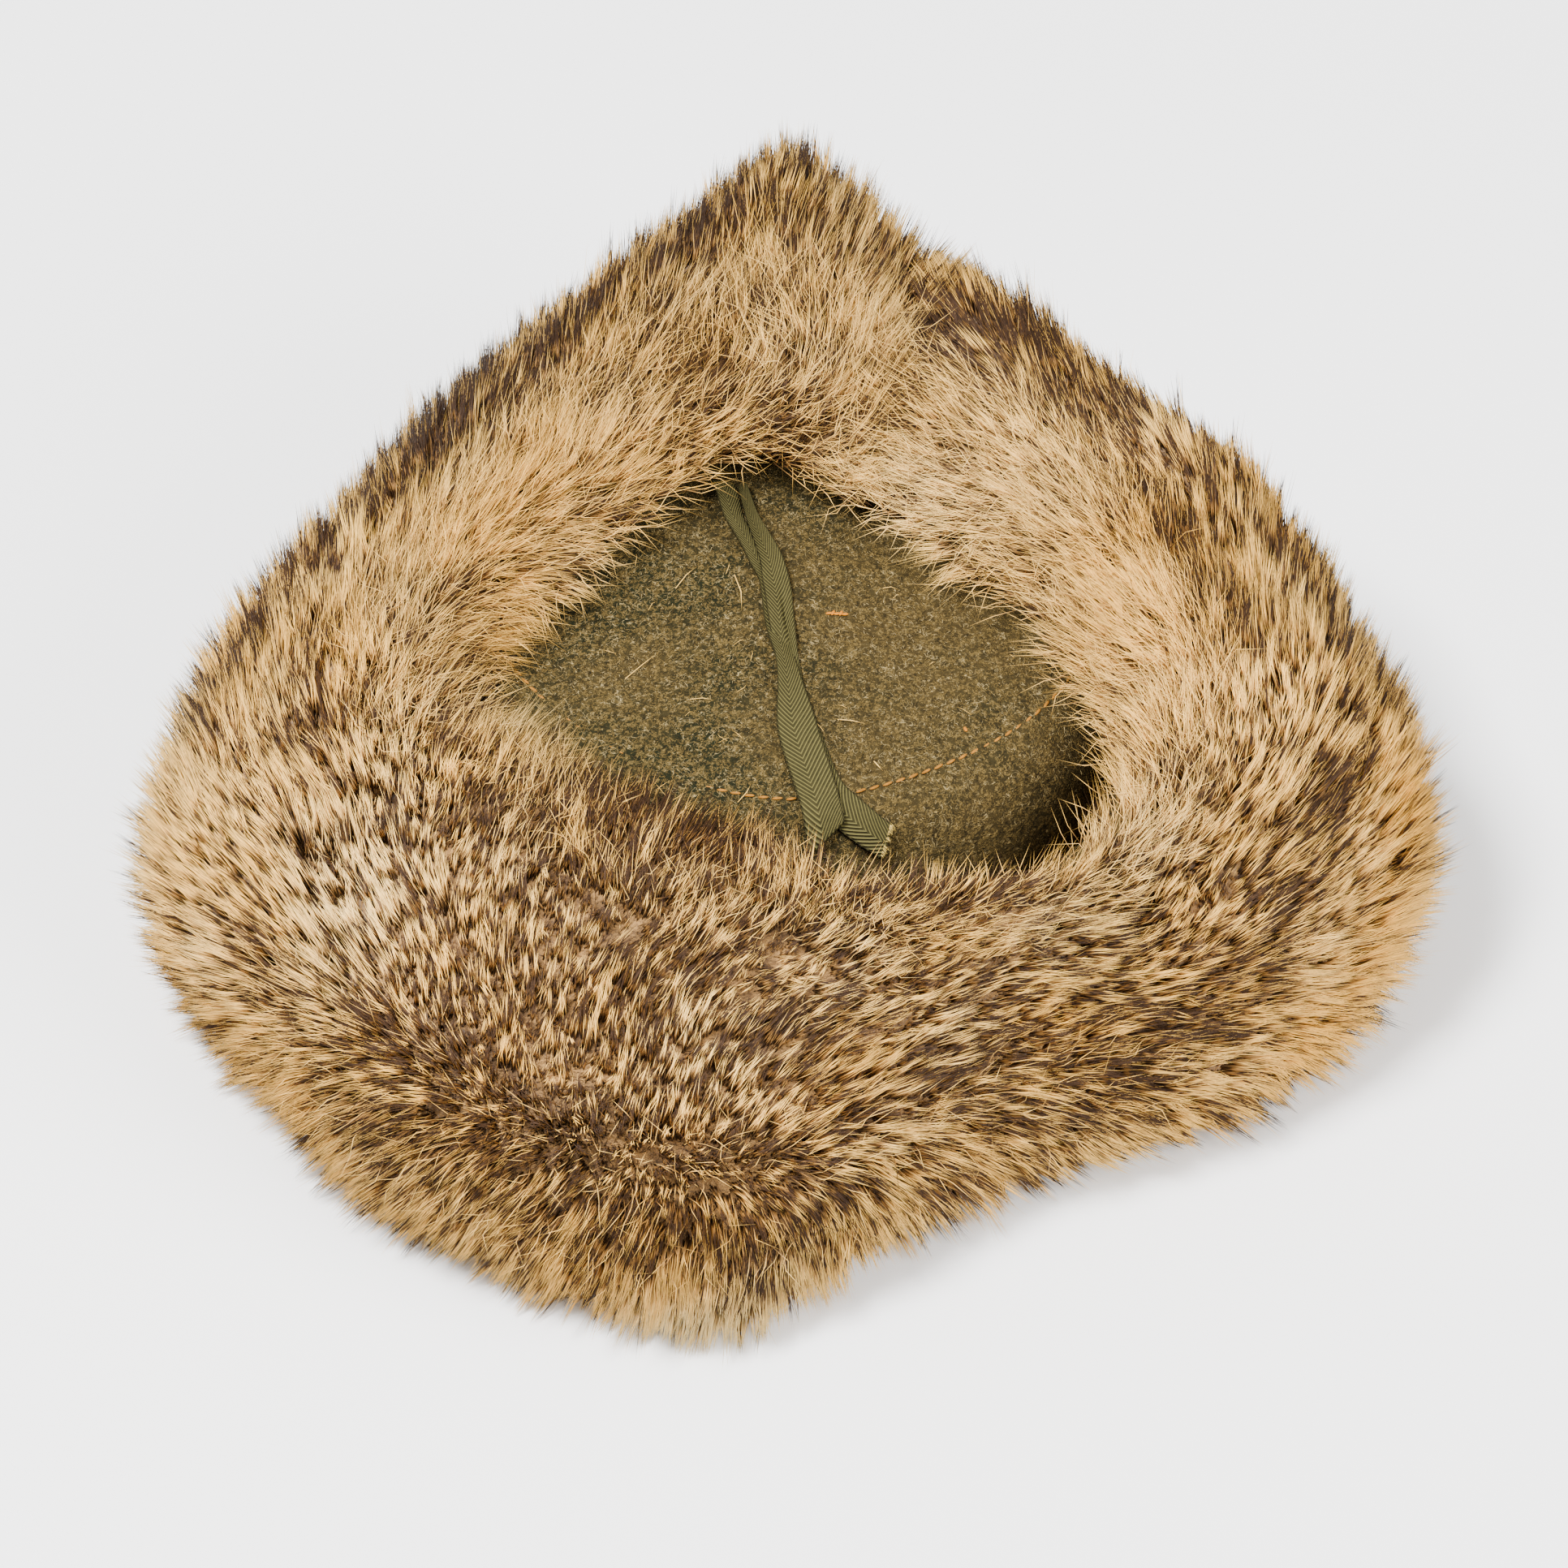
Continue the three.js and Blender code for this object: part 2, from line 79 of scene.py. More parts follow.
# Sections of the fur roll in millimetres and degrees, seen from a point above the visible part of the
# crown. Each row stands at a bearing of the free edge, anticlockwise from +X, and gives the bearing of
# its foot, then radius and height of the edge, the crest, the shoulder and the widest place, and the
# radius of the foot.
MIDDLE_Y = -50.0
SECTION_COLUMNS = (
    "at", "foot", "edge_r", "edge_z", "crest_r", "crest_z", "shoulder_r", "shoulder_z",
    "wide_r", "wide_z", "base_r",
)
SECTIONS = np.array((
    (0, 3, 64, 117, 90, 127, 134, 99, 159, 46, 150),
    (20, 21, 55, 120, 85, 130, 139, 92, 156, 50, 148),
    (34, 34, 50, 123, 84, 131, 137, 102, 155, 56, 147),
    (53, 52, 46, 126, 86, 132, 130, 111, 151, 62, 147),
    (70, 68, 45, 129, 92, 134, 135, 119, 160, 62, 156),
    (78, 76, 46, 131, 96, 138, 138, 121, 163, 66, 159),
    (91, 89, 50, 132, 108, 145, 150, 139, 166, 74, 160),
    (104, 102, 57, 131, 102, 139, 141, 125, 163, 66, 157),
    (122, 121, 55, 128, 89, 134, 132, 111, 154, 62, 149),
    (141, 141, 54, 124, 84, 131, 130, 101, 148, 56, 143),
    (160, 162, 60, 120, 87, 129, 136, 90, 155, 50, 147),
    (175, 184, 70, 117, 92, 125, 134, 92, 159, 42, 151),
    (187, 203, 72, 114, 92, 120, 121, 86, 141, 33, 135),
    (204, 224, 53, 113, 76, 118, 108, 83, 131, 31, 126),
    (235, 245, 44, 113, 63, 116, 97, 78, 123, 28, 120),
    (268, 263, 44, 112, 59, 114, 91, 71, 117, 26, 117),
    (289, 279, 58, 109, 67, 110, 85, 69, 101, 26, 98),
    (305, 299, 67, 106, 76, 107, 85, 70, 93, 26, 89),
    (320, 319, 77, 103, 87, 105, 97, 71, 106, 27, 101),
    (335, 334, 80, 105, 94, 110, 114, 77, 126, 30, 120),
    (348, 347, 74, 111, 93, 120, 126, 88, 145, 38, 139),
), dtype=float)

# The bearings between which each flap runs.
FLAPS = {
    "right_ear_flap": (-36.0, 73.0),
    "left_ear_flap": (73.0, 190.0),
    "front_flap": (190.0, 324.0),
}

# How the fur lies, as someone in front and above sees it: 0 to the right, 90 up, 180 left and 270 down.
# Each row stands at a bearing, with the lie at the foot, the widest place, the shoulder, the crest and
# the free edge.
COMB_STATIONS = (0.0, 0.2, 0.45, 0.85, 1.0)
COMB = {
    "right_ear_flap": (
        (-36, -40, -5, 58, 85, 110),
        (-25, -40, 5, 55, 95, 130),
        (-12, -40, 20, 65, 115, 170),
        (0, -40, 35, 80, 135, 180),
        (20, -30, 55, 95, 142, 190),
        (34, -40, 70, 120, 150, 190),
        (53, -60, 75, 135, 154, 190),
        (73, 270, 90, 118, 150, 200),
    ),
    "left_ear_flap": (
        (73, 270, 60, 35, 58, 20),
        (82, 270, 80, 65, 70, 0),
        (91, 270, 90, 92, 95, -30),
        (104, 270, 95, 88, 72, -25),
        (122, 250, 110, 92, 52, 5),
        (141, 235, 120, 90, 48, -15),
        (160, 210, 140, 100, 48, -18),
        (175, 200, 155, 98, 48, -8),
        (190, 215, 190, 92, 46, 25),
    ),
    "front_flap": (
        (190, 220, 200, 85, 52, 42),
        (204, 225, 215, 72, 50, 48),
        (235, 240, 238, 66, 62, 62),
        (268, 268, 262, 66, 66, 68),
        (289, 290, 290, 62, 62, 65),
        (305, 310, 330, 56, 58, 62),
        (324, 325, 350, 52, 56, 75),
    ),
}

# Patches of the pelt: bearing, how far up from the foot, how far each way the patch reaches in degrees
# and in parts of the way up, and what it adds of dark tips, of gold and of grey.
PATCHES = (
    (105, 0.71, 14, 0.10, 0.46, 0.0, 0.0),
    (128, 0.60, 18, 0.11, 0.24, 0.0, 0.0),
    (150, 0.52, 14, 0.09, 0.22, 0.1, 0.0),
    (166, 0.45, 8, 0.08, 0.30, 0.3, 0.0),
    (115, 0.89, 7, 0.035, 0.50, 0.0, 0.0),
    (91, 0.67, 8, 0.10, 0.05, 0.0, 0.0),
    (95, 0.86, 8, 0.05, 0.30, 0.1, 0.0),
    (95, 0.98, 8, 0.05, 0.30, 0.3, 0.0),
    (152, 0.86, 16, 0.10, -0.20, 0.3, 0.1),
    (125, 0.85, 12, 0.08, -0.15, 0.0, 0.1),
    (174, 0.72, 7, 0.09, -0.10, 0.5, 0.0),
    (176, 0.28, 9, 0.18, -0.30, 0.1, 0.5),
    (79, 0.72, 6, 0.10, -0.25, 0.0, 0.25),
    (64, 0.71, 14, 0.10, 0.36, 0.0, 0.0),
    (46, 0.61, 14, 0.10, 0.30, 0.0, 0.0),
    (28, 0.50, 12, 0.08, 0.18, 0.1, 0.0),
    (12, 0.42, 12, 0.08, 0.20, 0.2, 0.0),
    (48, 0.90, 16, 0.10, -0.25, -0.1, 0.3),
    (0, 0.82, 16, 0.15, -0.22, 0.2, 0.15),
    (-8, 0.26, 14, 0.16, -0.36, 0.5, 0.35),
    (-22, 0.15, 12, 0.12, -0.20, 0.3, 0.1),
    (20, 0.72, 14, 0.08, 0.15, 0.5, 0.0),
    (-30, 0.88, 8, 0.06, -0.15, 0.0, 0.25),
    (250, 0.66, 50, 0.20, 0.10, -0.1, 0.1),
    (225, 0.37, 20, 0.08, 0.34, 0.2, -0.1),
    (262, 0.27, 26, 0.06, 0.24, 0.2, -0.1),
    (206, 0.72, 5, 0.05, 0.35, 0.0, 0.0),
    (193, 0.52, 7, 0.14, -0.28, -0.2, 0.7),
    (193, 0.97, 8, 0.07, 0.10, -0.3, 0.4),
    (190, 0.22, 10, 0.12, -0.15, 0.3, 0.3),
    (262, 0.03, 20, 0.10, -0.70, -0.4, 1.2),
    (310, 0.45, 18, 0.10, 0.20, 0.1, 0.0),
    (250, 0.91, 48, 0.11, 0.40, 0.1, -0.1),
    (230, 0.12, 30, 0.10, -0.10, 0.2, 0.15),
)

# The pelt's shares of dark tips, of gold and of grey between its patches.
BASE_TONES = (0.36, 0.30, 0.10)

# The ties, in millimetres from the crown's middle. Each row gives the middle of the tape, how far it
# lies above the crown, how it rolls about its length in degrees, its width, and how deep a furrow
# runs along it.
TAPES = {
    "left_tie_tape": (
        (-16.4, 12.2, 2.2, -24, 6.0, 0),
        (-15.3, 8.1, 2.2, -26, 6.0, 0),
        (-13.9, 1.1, 2.1, -28, 5.6, 0),
        (-11.9, -3.7, 1.9, -28, 5.2, 0),
        (-9.8, -8.5, 1.7, -24, 4.8, 0),
        (-7.8, -13.3, 1.4, -14, 4.8, 0),
        (-5.4, -18.1, 1.1, 0, 5.2, 0),
        (-4.4, -24.6, 1.1, 0, 5.6, 0),
        (-3.6, -32.2, 1.3, -8, 5.6, 0),
        (-2.6, -38.3, 1.9, -20, 5.4, 0),
        (-1.6, -43.5, 2.6, -22, 5.0, 0),
        (-0.9, -48.3, 2.9, -10, 5.2, 0),
        (-0.3, -53.6, 2.6, 0, 6.2, 0),
        (0.3, -58.7, 2.4, 0, 8.0, 0),
        (1.0, -63.9, 2.4, 0, 9.4, 0),
        (2.0, -68.8, 2.4, 0, 9.8, 0),
        (4.3, -76.8, 2.4, 0, 9.8, 0),
        (6.5, -85.0, 2.5, 0, 9.6, 0),
        (8.0, -91.0, 3.2, 0, 9.4, 0),
    ),
    "right_tie_tape": (
        (-12.2, 10.5, 2.6, 40, 2.8, 0),
        (-11.3, 6.2, 2.8, 40, 3.0, 0),
        (-9.7, -0.7, 3.0, 38, 3.4, 0),
        (-8.1, -5.4, 3.1, 32, 4.0, 0),
        (-6.4, -10.1, 3.2, 24, 4.8, 0),
        (-4.9, -14.7, 3.1, 14, 5.6, 0),
        (-4.0, -19.4, 2.6, 5, 6.4, 0),
        (-3.2, -24.0, 2.6, -5, 6.6, 0.5),
        (-2.7, -28.7, 2.6, -12, 6.6, 1.4),
        (-2.3, -33.3, 2.6, -5, 6.2, 1.7),
        (-1.8, -38.5, 2.2, 8, 5.8, 1.2),
        (-1.2, -42.6, 1.5, 15, 5.4, 0.4),
        (-0.6, -46.6, 0.9, 8, 5.2, 0),
        (0.1, -52.0, 0.8, 0, 6.0, 0),
        (0.9, -59.2, 0.8, 0, 8.0, 0),
        (3.0, -67.6, 0.8, 0, 9.0, 0),
        (5.5, -75.6, 0.8, 0, 9.0, 0),
        (8.0, -81.2, 0.8, 0, 9.0, 0),
        (10.8, -84.8, 1.0, 0, 9.0, 0),
        (14.2, -87.2, 1.4, 0, 8.8, 0),
        (18.0, -88.7, 2.6, 0, 8.4, 0),
        (21.8, -89.4, 3.8, 0, 8.0, 0),
    ),
}

# The camera: its height over the horizon, its distance in metres, its lens and sensor in millimetres,
# and how far right of and above the crown's middle it aims, in millimetres.
VIEW_ELEVATION = math.radians(50)
CAMERA = {"distance": 2.2, "lens": 200.0, "sensor": 36.0, "aim_right": -1.85, "aim_up": 8.8}

# The two lights: name, setting that holds the power, place and size in metres.
LAMPS = (
    ("key_light", "key", (-0.75, -0.45, 2.1), 0.6),
    ("fill_light", "fill", (1.4, -0.9, 1.3), 1.2),
)
FLOOR = {"half_size": 6.0, "height": -0.0005}

CROWN_LOW, CROWN_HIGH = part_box("crown_side_band")
CROWN_MIDDLE = Vector((
    (CROWN_LOW[0] + CROWN_HIGH[0]) / 2,
    CROWN_LOW[1] + RIM["front"] * MM,
    0.0,
))


def linear(red, green, blue):
    """A colour's linear values from its values as seen on a screen, 0 to 255."""
    seen = [c / 255 for c in (red, green, blue)]
    return tuple(c / 12.92 if c <= 0.04045 else ((c + 0.055) / 1.055) ** 2.4 for c in seen)


def in_row(points):
    """Points in millimetres from the crown's middle, as metres in the row frame."""
    return np.asarray(points) * MM + np.array(CROWN_MIDDLE)


def unit(vectors):
    """Vectors scaled to length 1."""
    return vectors / np.maximum(np.linalg.norm(vectors, axis=-1, keepdims=True), 1e-12)


# The crown's surface

# Steps of a search by halving, and how far out it starts, in millimetres.
HALVINGS = 24
FARTHEST = 260.0


def outline_size(blend):
    """The crown's outline between the rim, at 0, and the seam, at 1."""
    return {key: RIM[key] + (SEAM[key] - RIM[key]) * blend for key in RIM}


def outline_measure(size, x, y):
    """1 on an outline, less inside it."""
    depth = np.where(y < 0, size["front"], size["back"])
    power = size["power"]
    return (np.abs(x / size["across"]) ** power + np.abs(y / depth) ** power) ** (1 / power)


def on_outline(size, angle, shrink=0.0):
    """The place on an outline at an angle."""
    cosine, sine = np.cos(angle), np.sin(angle)
    depth = np.where(sine < 0, size["front"], size["back"])
    power = 2 / size["power"]
    x = (size["across"] - shrink) * np.sign(cosine) * np.abs(cosine) ** power
    y = (depth - shrink) * np.sign(sine) * np.abs(sine) ** power
    return x, y


def seam_height(y):
    """The height of the seam."""
    return SEAM_HEIGHT + SEAM_SLOPE * y


def top_height(x, y):
    """The height of the top panel."""
    out = np.minimum(outline_measure(SEAM, x, y), 1)
    dents = sum(
        d["depth"] * np.exp(-((x - d["x"]) ** 2 + (y - d["y"]) ** 2) / d["radius"] ** 2)
        for d in DENTS
    )
    return seam_height(y) + (1 - out**2) * (DOME - dents)


def crown_height(x, y):
    """The height of the crown's outer surface over a place, 0 outside it."""
    x, y = np.asarray(x, dtype=float), np.asarray(y, dtype=float)
    low, high = np.zeros_like(x), np.ones_like(x)
    for _ in range(HALVINGS):
        middle = (low + high) / 2
        outside = outline_measure(outline_size(middle), x, y) > 1
        high = np.where(outside, middle, high)
        low = np.where(outside, low, middle)
    rise = np.sqrt(1 - (1 - low) ** 2)
    shoulder = SHOULDER_START + (seam_height(y) - SHOULDER_START) * rise
    height = np.where(outline_measure(SEAM, x, y) <= 1, top_height(x, y), shoulder)
    return np.where(outline_measure(RIM, x, y) >= 1, 0, height)


def crown_reach(bearing, height):
    """How far the crown reaches from the middle of the fur along a bearing in radians, at a height."""
    low, high = np.zeros_like(bearing), np.full_like(bearing, FARTHEST)
    for _ in range(HALVINGS):
        middle = (low + high) / 2
        x = middle * np.cos(bearing)
        y = MIDDLE_Y + middle * np.sin(bearing)
        inside = crown_height(x, y) > height
        low = np.where(inside, middle, low)
        high = np.where(inside, high, middle)
    return low


# The fur's outer surface


def section_values(bearings):
    """The section table's values at bearings in degrees, on a smooth curve through its rows."""
    turn = np.zeros(SECTIONS.shape[1])
    turn[:2] = 360
    rows = np.concatenate([SECTIONS[-2:] - turn, SECTIONS, SECTIONS[:3] + turn])
    turns = np.floor(bearings / 360)
    wrapped = bearings - 360 * turns
    i = np.searchsorted(rows[:, 0], wrapped, side="right") - 1
    slopes = (rows[2:] - rows[:-2]) / (rows[2:, :1] - rows[:-2, :1])
    span = (rows[i + 1, 0] - rows[i, 0])[:, None]
    t = (wrapped - rows[i, 0])[:, None] / span
    blend = t * t * (3 - 2 * t)
    bend = t * (1 - t) * span * ((1 - t) * slopes[i - 1] - t * slopes[i])
    values = rows[i] + (rows[i + 1] - rows[i]) * blend + bend
    values[:, 1] += 360 * turns
    return dict(zip(SECTION_COLUMNS, values.T))


def smooth_line(points, steps):
    """A centripetal curve through five points of many sections at once, as (section, step, 2)."""
    points = np.concatenate([
        2 * points[:, :1] - points[:, 1:2], points, 2 * points[:, -1:] - points[:, -2:-1]
    ], axis=1)
    pieces = []
    for k in range(1, points.shape[1] - 2):
        a, b, c, d = (points[:, k + j] for j in (-1, 0, 1, 2))
        ab, bc, cd = (np.linalg.norm(q - p, axis=1, keepdims=True) ** 0.5
                      for p, q in ((a, b), (b, c), (c, d)))
        start = ((b - a) / ab - (c - a) / (ab + bc) + (c - b) / bc) * bc
        end = ((c - b) / bc - (d - b) / (bc + cd) + (d - c) / cd) * bc
        t = np.linspace(0, 1, steps, endpoint=False)[None, :, None]
        b, c, start, end = (v[:, None] for v in (b, c, start, end))
        pieces.append(
            (2 * t**3 - 3 * t**2 + 1) * b + (t**3 - 2 * t**2 + t) * start
            + (3 * t**2 - 2 * t**3) * c + (t**3 - t**2) * end
        )
    pieces.append(points[:, -2:-1])
    return np.concatenate(pieces, axis=1)


class FurSurface:
    """The fur's outer surface as a grid over bearings, in degrees, and the way from foot to edge."""

    STEPS = 120
    CURVE_STEPS = 40
    FOOT_HEIGHT = 3.0
    END_GAP = 0.2

    def __init__(self):
        self.bearings = np.arange(0, 360, 1.0)
        value = section_values(self.bearings)
        low = np.full_like(self.bearings, self.FOOT_HEIGHT)
        line = [np.stack([value["base_r"], low], 1)]
        line += [np.stack([value[k + "_r"], value[k + "_z"]], 1)
                 for k in ("wide", "shoulder", "crest", "edge")]
        fine = smooth_line(np.stack(line, 1), self.CURVE_STEPS)
        steps = np.linalg.norm(np.diff(fine, axis=1), axis=2)
        length = np.concatenate([np.zeros((len(steps), 1)), np.cumsum(steps, axis=1)], axis=1)
        along = np.linspace(0, 1, self.STEPS + 1)
        spot = np.array([np.interp(along * far[-1], far, range(len(far))) for far in length])
        whole = np.minimum(spot.astype(int), fine.shape[1] - 2)
        part = (spot - whole)[..., None]
        row = np.arange(len(fine))[:, None]
        radius_height = fine[row, whole] * (1 - part) + fine[row, whole + 1] * part
        foot, edge = np.radians(value["foot"]), np.radians(self.bearings)
        angle = foot[:, None] + (edge - foot)[:, None] * along
        radius, height = radius_height[..., 0], radius_height[..., 1]
        x, y = radius * np.cos(angle), MIDDLE_Y + radius * np.sin(angle)
        self.points = np.stack([x, y, height], 2)
        self.around = unit(np.roll(self.points, -1, 0) - np.roll(self.points, 1, 0))
        self.up = unit(np.gradient(self.points, axis=1))
        self.normal = unit(np.cross(self.around, self.up))
        self.radius, self.angle = radius, angle
        spread = np.linalg.norm(np.roll(self.points, -1, 0) - self.points, axis=2)
        climb = np.linalg.norm(np.diff(self.points, axis=1), axis=2)
        self.areas = spread[:, :-1] * climb

    def read(self, grid, bearing, along):
        """A grid's values at bearings in degrees and parts of the way up."""
        row = np.mod(bearing, 360)
        column = np.clip(along, 0, 1) * self.STEPS
        i = row.astype(int)
        j = np.minimum(column.astype(int), self.STEPS - 1)
        a, b = (row - i)[:, None], (column - j)[:, None]
        i, after = i % len(self.bearings), (i + 1) % len(self.bearings)
        low = grid[i, j] * (1 - a) + grid[after, j] * a
        high = grid[i, j + 1] * (1 - a) + grid[after, j + 1] * a
        return low * (1 - b) + high * b

    def place(self, bearing, along):
        """Position, outward, upward and sideways directions."""
        point = self.read(self.points, bearing, along)
        return (point, *(unit(self.read(g, bearing, along))
                         for g in (self.normal, self.up, self.around)))

    def scatter(self, rng, flap, low, high, count):
        """Evenly spread places of a flap between two parts of the way up: bearings, alongs."""
        start, end = FLAPS[flap]
        rows = np.arange(math.floor(start), math.ceil(end))
        cells = self.areas[rows % 360][:, int(low * self.STEPS):math.ceil(high * self.STEPS)]
        total = np.concatenate([[0], np.cumsum(cells.ravel())])
        pick = (np.arange(count) + rng.random(count)) / count * total[-1]
        cell = np.searchsorted(total, pick, side="right") - 1
        cell = np.clip(cell, 0, cells.size - 1)
        row, column = np.divmod(cell, cells.shape[1])
        bearing = rows[row] + rng.random(count)
        along = (int(low * self.STEPS) + column + rng.random(count)) / self.STEPS
        return np.clip(bearing, start + self.END_GAP, end - self.END_GAP), along

    def area(self, flap, low, high):
        """The area of part of a flap in square millimetres."""
        rows = np.arange(math.floor(FLAPS[flap][0]), math.ceil(FLAPS[flap][1])) % 360
        return self.areas[rows][:, int(low * self.STEPS):math.ceil(high * self.STEPS)].sum()


@cache
def fur():
    """The fur's surface, worked out once."""
    return FurSurface()


def combed(flap, bearing, along):
    """Which way the fur lies, as a vector that is shorter where the lie turns over."""
    table = np.array(COMB[flap], dtype=float)
    angle = np.radians(table[:, 1:])
    row = np.interp(bearing, table[:, 0], range(len(table)))
    column = np.interp(along, COMB_STATIONS, range(len(COMB_STATIONS)))
    i = np.minimum(row.astype(int), len(table) - 2)
    j = np.minimum(column.astype(int), len(COMB_STATIONS) - 2)
    a, b = row - i, column - j
    sight = 0
    for di, wa in ((0, 1 - a), (1, a)):
        for dj, wb in ((0, 1 - b), (1, b)):
            turn = angle[i + di, j + dj]
            sight = sight + (wa * wb)[:, None] * np.stack([np.cos(turn), np.sin(turn)], 1)
    right = np.array([1.0, 0, 0])
    up = np.array([0, math.sin(VIEW_ELEVATION), math.cos(VIEW_ELEVATION)])
    return sight[:, :1] * right + sight[:, 1:] * up


def pelt_tones(bearing, along):
    """Shares of dark tips, gold and grey, before chance."""
    tones = np.tile(BASE_TONES, (len(bearing), 1))
    for at, up, wide, high, *adds in PATCHES:
        apart = np.mod(bearing - at + 180, 360) - 180
        near = np.exp(-((apart / wide) ** 2) - ((along - up) / high) ** 2)
        tones += near[:, None] * np.array(adds)
    return np.clip(tones, 0, 1)


NOISE_HEIGHT = 3.2


def soft_noise(points, scale, seed):
    """Smooth noise between about -1 and 1 from waves in several directions."""
    waves = 9
    rng = np.random.default_rng(seed)
    total = np.zeros(len(points))
    for _ in range(waves):
        wave = unit(rng.normal(size=3)) * (2 * math.pi / scale) * rng.uniform(0.6, 1.5)
        total += np.sin(points @ wave + rng.uniform(0, 2 * math.pi))
    return total / NOISE_HEIGHT


# Meshes


def new_object(name, mesh, materials, slot, *nodes):
    """Puts a mesh in the scene as a piece that rides on the body, and may stand for CAD nodes."""
    piece = bpy.data.objects.new(name, mesh)
    bpy.context.scene.collection.objects.link(piece)
    for material in materials:
        mesh.materials.append(material)
    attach(piece, BODY)
    if nodes:
        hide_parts(*nodes)
    return piece


# A direction that no hair runs along, and the width of a hair's middle beside its root's.
ASKEW = np.array([0.31, -0.52, 0.79])
MIDDLE_WIDTH = 0.75

# Where the corners of a hair's faces lie across its strip of the map: its foot and tip faces, and the
# two faces of each side below a bend.
ACROSS = {"end": (0.1, 0.9, 0.5), "side": ((0.1, 0.9, 0.9), (0.1, 0.9, 0.1))}
FOOT_ON_MAP = (0.02, 0.02, 0.07)


def hair_mesh(name, roots, middles, tips, widths, tones):
    """A joined mesh of closed hairs, each a slim spike with or without a bend at its middle.

    The tones of a hair are its chances of a dark tip, of gold and of grey, and its own number.
    """
    count = len(roots)
    bent = middles is not None
    aim = unit((middles if bent else tips) - roots)
    side = unit(np.cross(aim, ASKEW))
    other = np.cross(aim, side)
    corners = []
    for k in range(3):
        turn = 2 * math.pi * k / 3
        corners.append((side * math.cos(turn) + other * math.sin(turn)) * widths[:, None] / 2)
    rings = [roots[:, None] + np.stack(corners, 1)]
    if bent:
        rings.append(middles[:, None] + MIDDLE_WIDTH * np.stack(corners, 1))
    points = np.concatenate([*rings, tips[:, None]], axis=1)
    size = points.shape[1]
    faces, across = [(0, 2, 1)], [ACROSS["end"]]
    for low in range(0, 3 * (len(rings) - 1), 3):
        for k in range(3):
            after = (k + 1) % 3
            faces += [(low + k, low + after, low + 3 + after), (low + k, low + 3 + after, low + 3 + k)]
            across += ACROSS["side"]
    last = 3 * (len(rings) - 1)
    for k in range(3):
        faces.append((last + k, last + (k + 1) % 3, size - 1))
        across.append(ACROSS["end"])
    faces = np.array(faces)
    loops = (np.arange(count)[:, None, None] * size + faces).reshape(-1)

    mesh = bpy.data.meshes.new(name)
    mesh.vertices.add(count * size)
    mesh.vertices.foreach_set("co", points.reshape(-1).astype(np.float32))
    mesh.loops.add(len(loops))
    mesh.loops.foreach_set("vertex_index", loops.astype(np.int32))
    mesh.polygons.add(count * len(faces))
    mesh.polygons.foreach_set("loop_start", np.arange(0, len(loops), 3, dtype=np.int32))
    mesh.update(calc_edges=True)

    ring_at = np.repeat(np.linspace(0, 1, len(rings) + 1), [3] * len(rings) + [1])
    coat = np.empty((count, size, 4), dtype=np.float32)
    coat[..., 0] = ring_at
    coat[..., 1:] = tones[:, None, :3]
    layer = mesh.attributes.new("coat", "FLOAT_COLOR", "POINT")
    layer.data.foreach_set("color", coat.reshape(-1))
    chance = np.repeat(tones[:, 3], size).astype(np.float32)
    mesh.attributes.new("chance", "FLOAT", "POINT").data.foreach_set("value", chance)
    up_map = 0.08 + 0.86 * ring_at[faces]
    up_map[0] = FOOT_ON_MAP
    hair_map(mesh, count, np.array(across), up_map)
    return mesh


def hair_map(mesh, count, across, along):
    """Gives each hair a strip of its own on the piece's map, from root to tip."""
    tall = 20
    columns = max(1, math.ceil(math.sqrt(count * tall)))
    rows = math.ceil(count / columns)
    number = np.arange(count)
    left, low = (number % columns) / columns, (number // columns) / rows
    u = left[:, None, None] + across / columns
    v = low[:, None, None] + along / rows
    layer = mesh.uv_layers.new(name="OFBake")
    layer.data.foreach_set("uv", np.stack([u, v], -1).reshape(-1).astype(np.float32))


def closed_loft(name, sections, felted=()):
    """A mesh through closed sections, from a grid whose sides are joined and whose ends are filled.

    Faces of the felted columns have the second material.
    """
    rows, columns = len(sections), len(sections[0])
    made = bmesh.new()
    bmesh.ops.create_grid(made, x_segments=columns, y_segments=rows - 1, size=1.0)
    made.verts.index_update()
    for index, vert in enumerate(made.verts):
        row, column = divmod(index, columns + 1)
        vert.co = sections[row][column % columns]
    for face in made.faces:
        column = min(vert.index % (columns + 1) for vert in face.verts)
        face.material_index = int(column in felted)
    bmesh.ops.remove_doubles(made, verts=made.verts[:], dist=1e-7)
    rims = [e for e in made.edges if e.is_boundary]
    filled = bmesh.ops.holes_fill(made, edges=rims, sides=0)["faces"]
    bmesh.ops.triangulate(made, faces=filled)
    bmesh.ops.recalc_face_normals(made, faces=made.faces[:])
    return finished_mesh(name, made)


def finished_mesh(name, made):
    """A mesh with smooth shading from the edited one."""
    for face in made.faces:
        face.smooth = True
    mesh = bpy.data.meshes.new(name)
    made.to_mesh(mesh)
    made.free()
    return mesh


# Materials


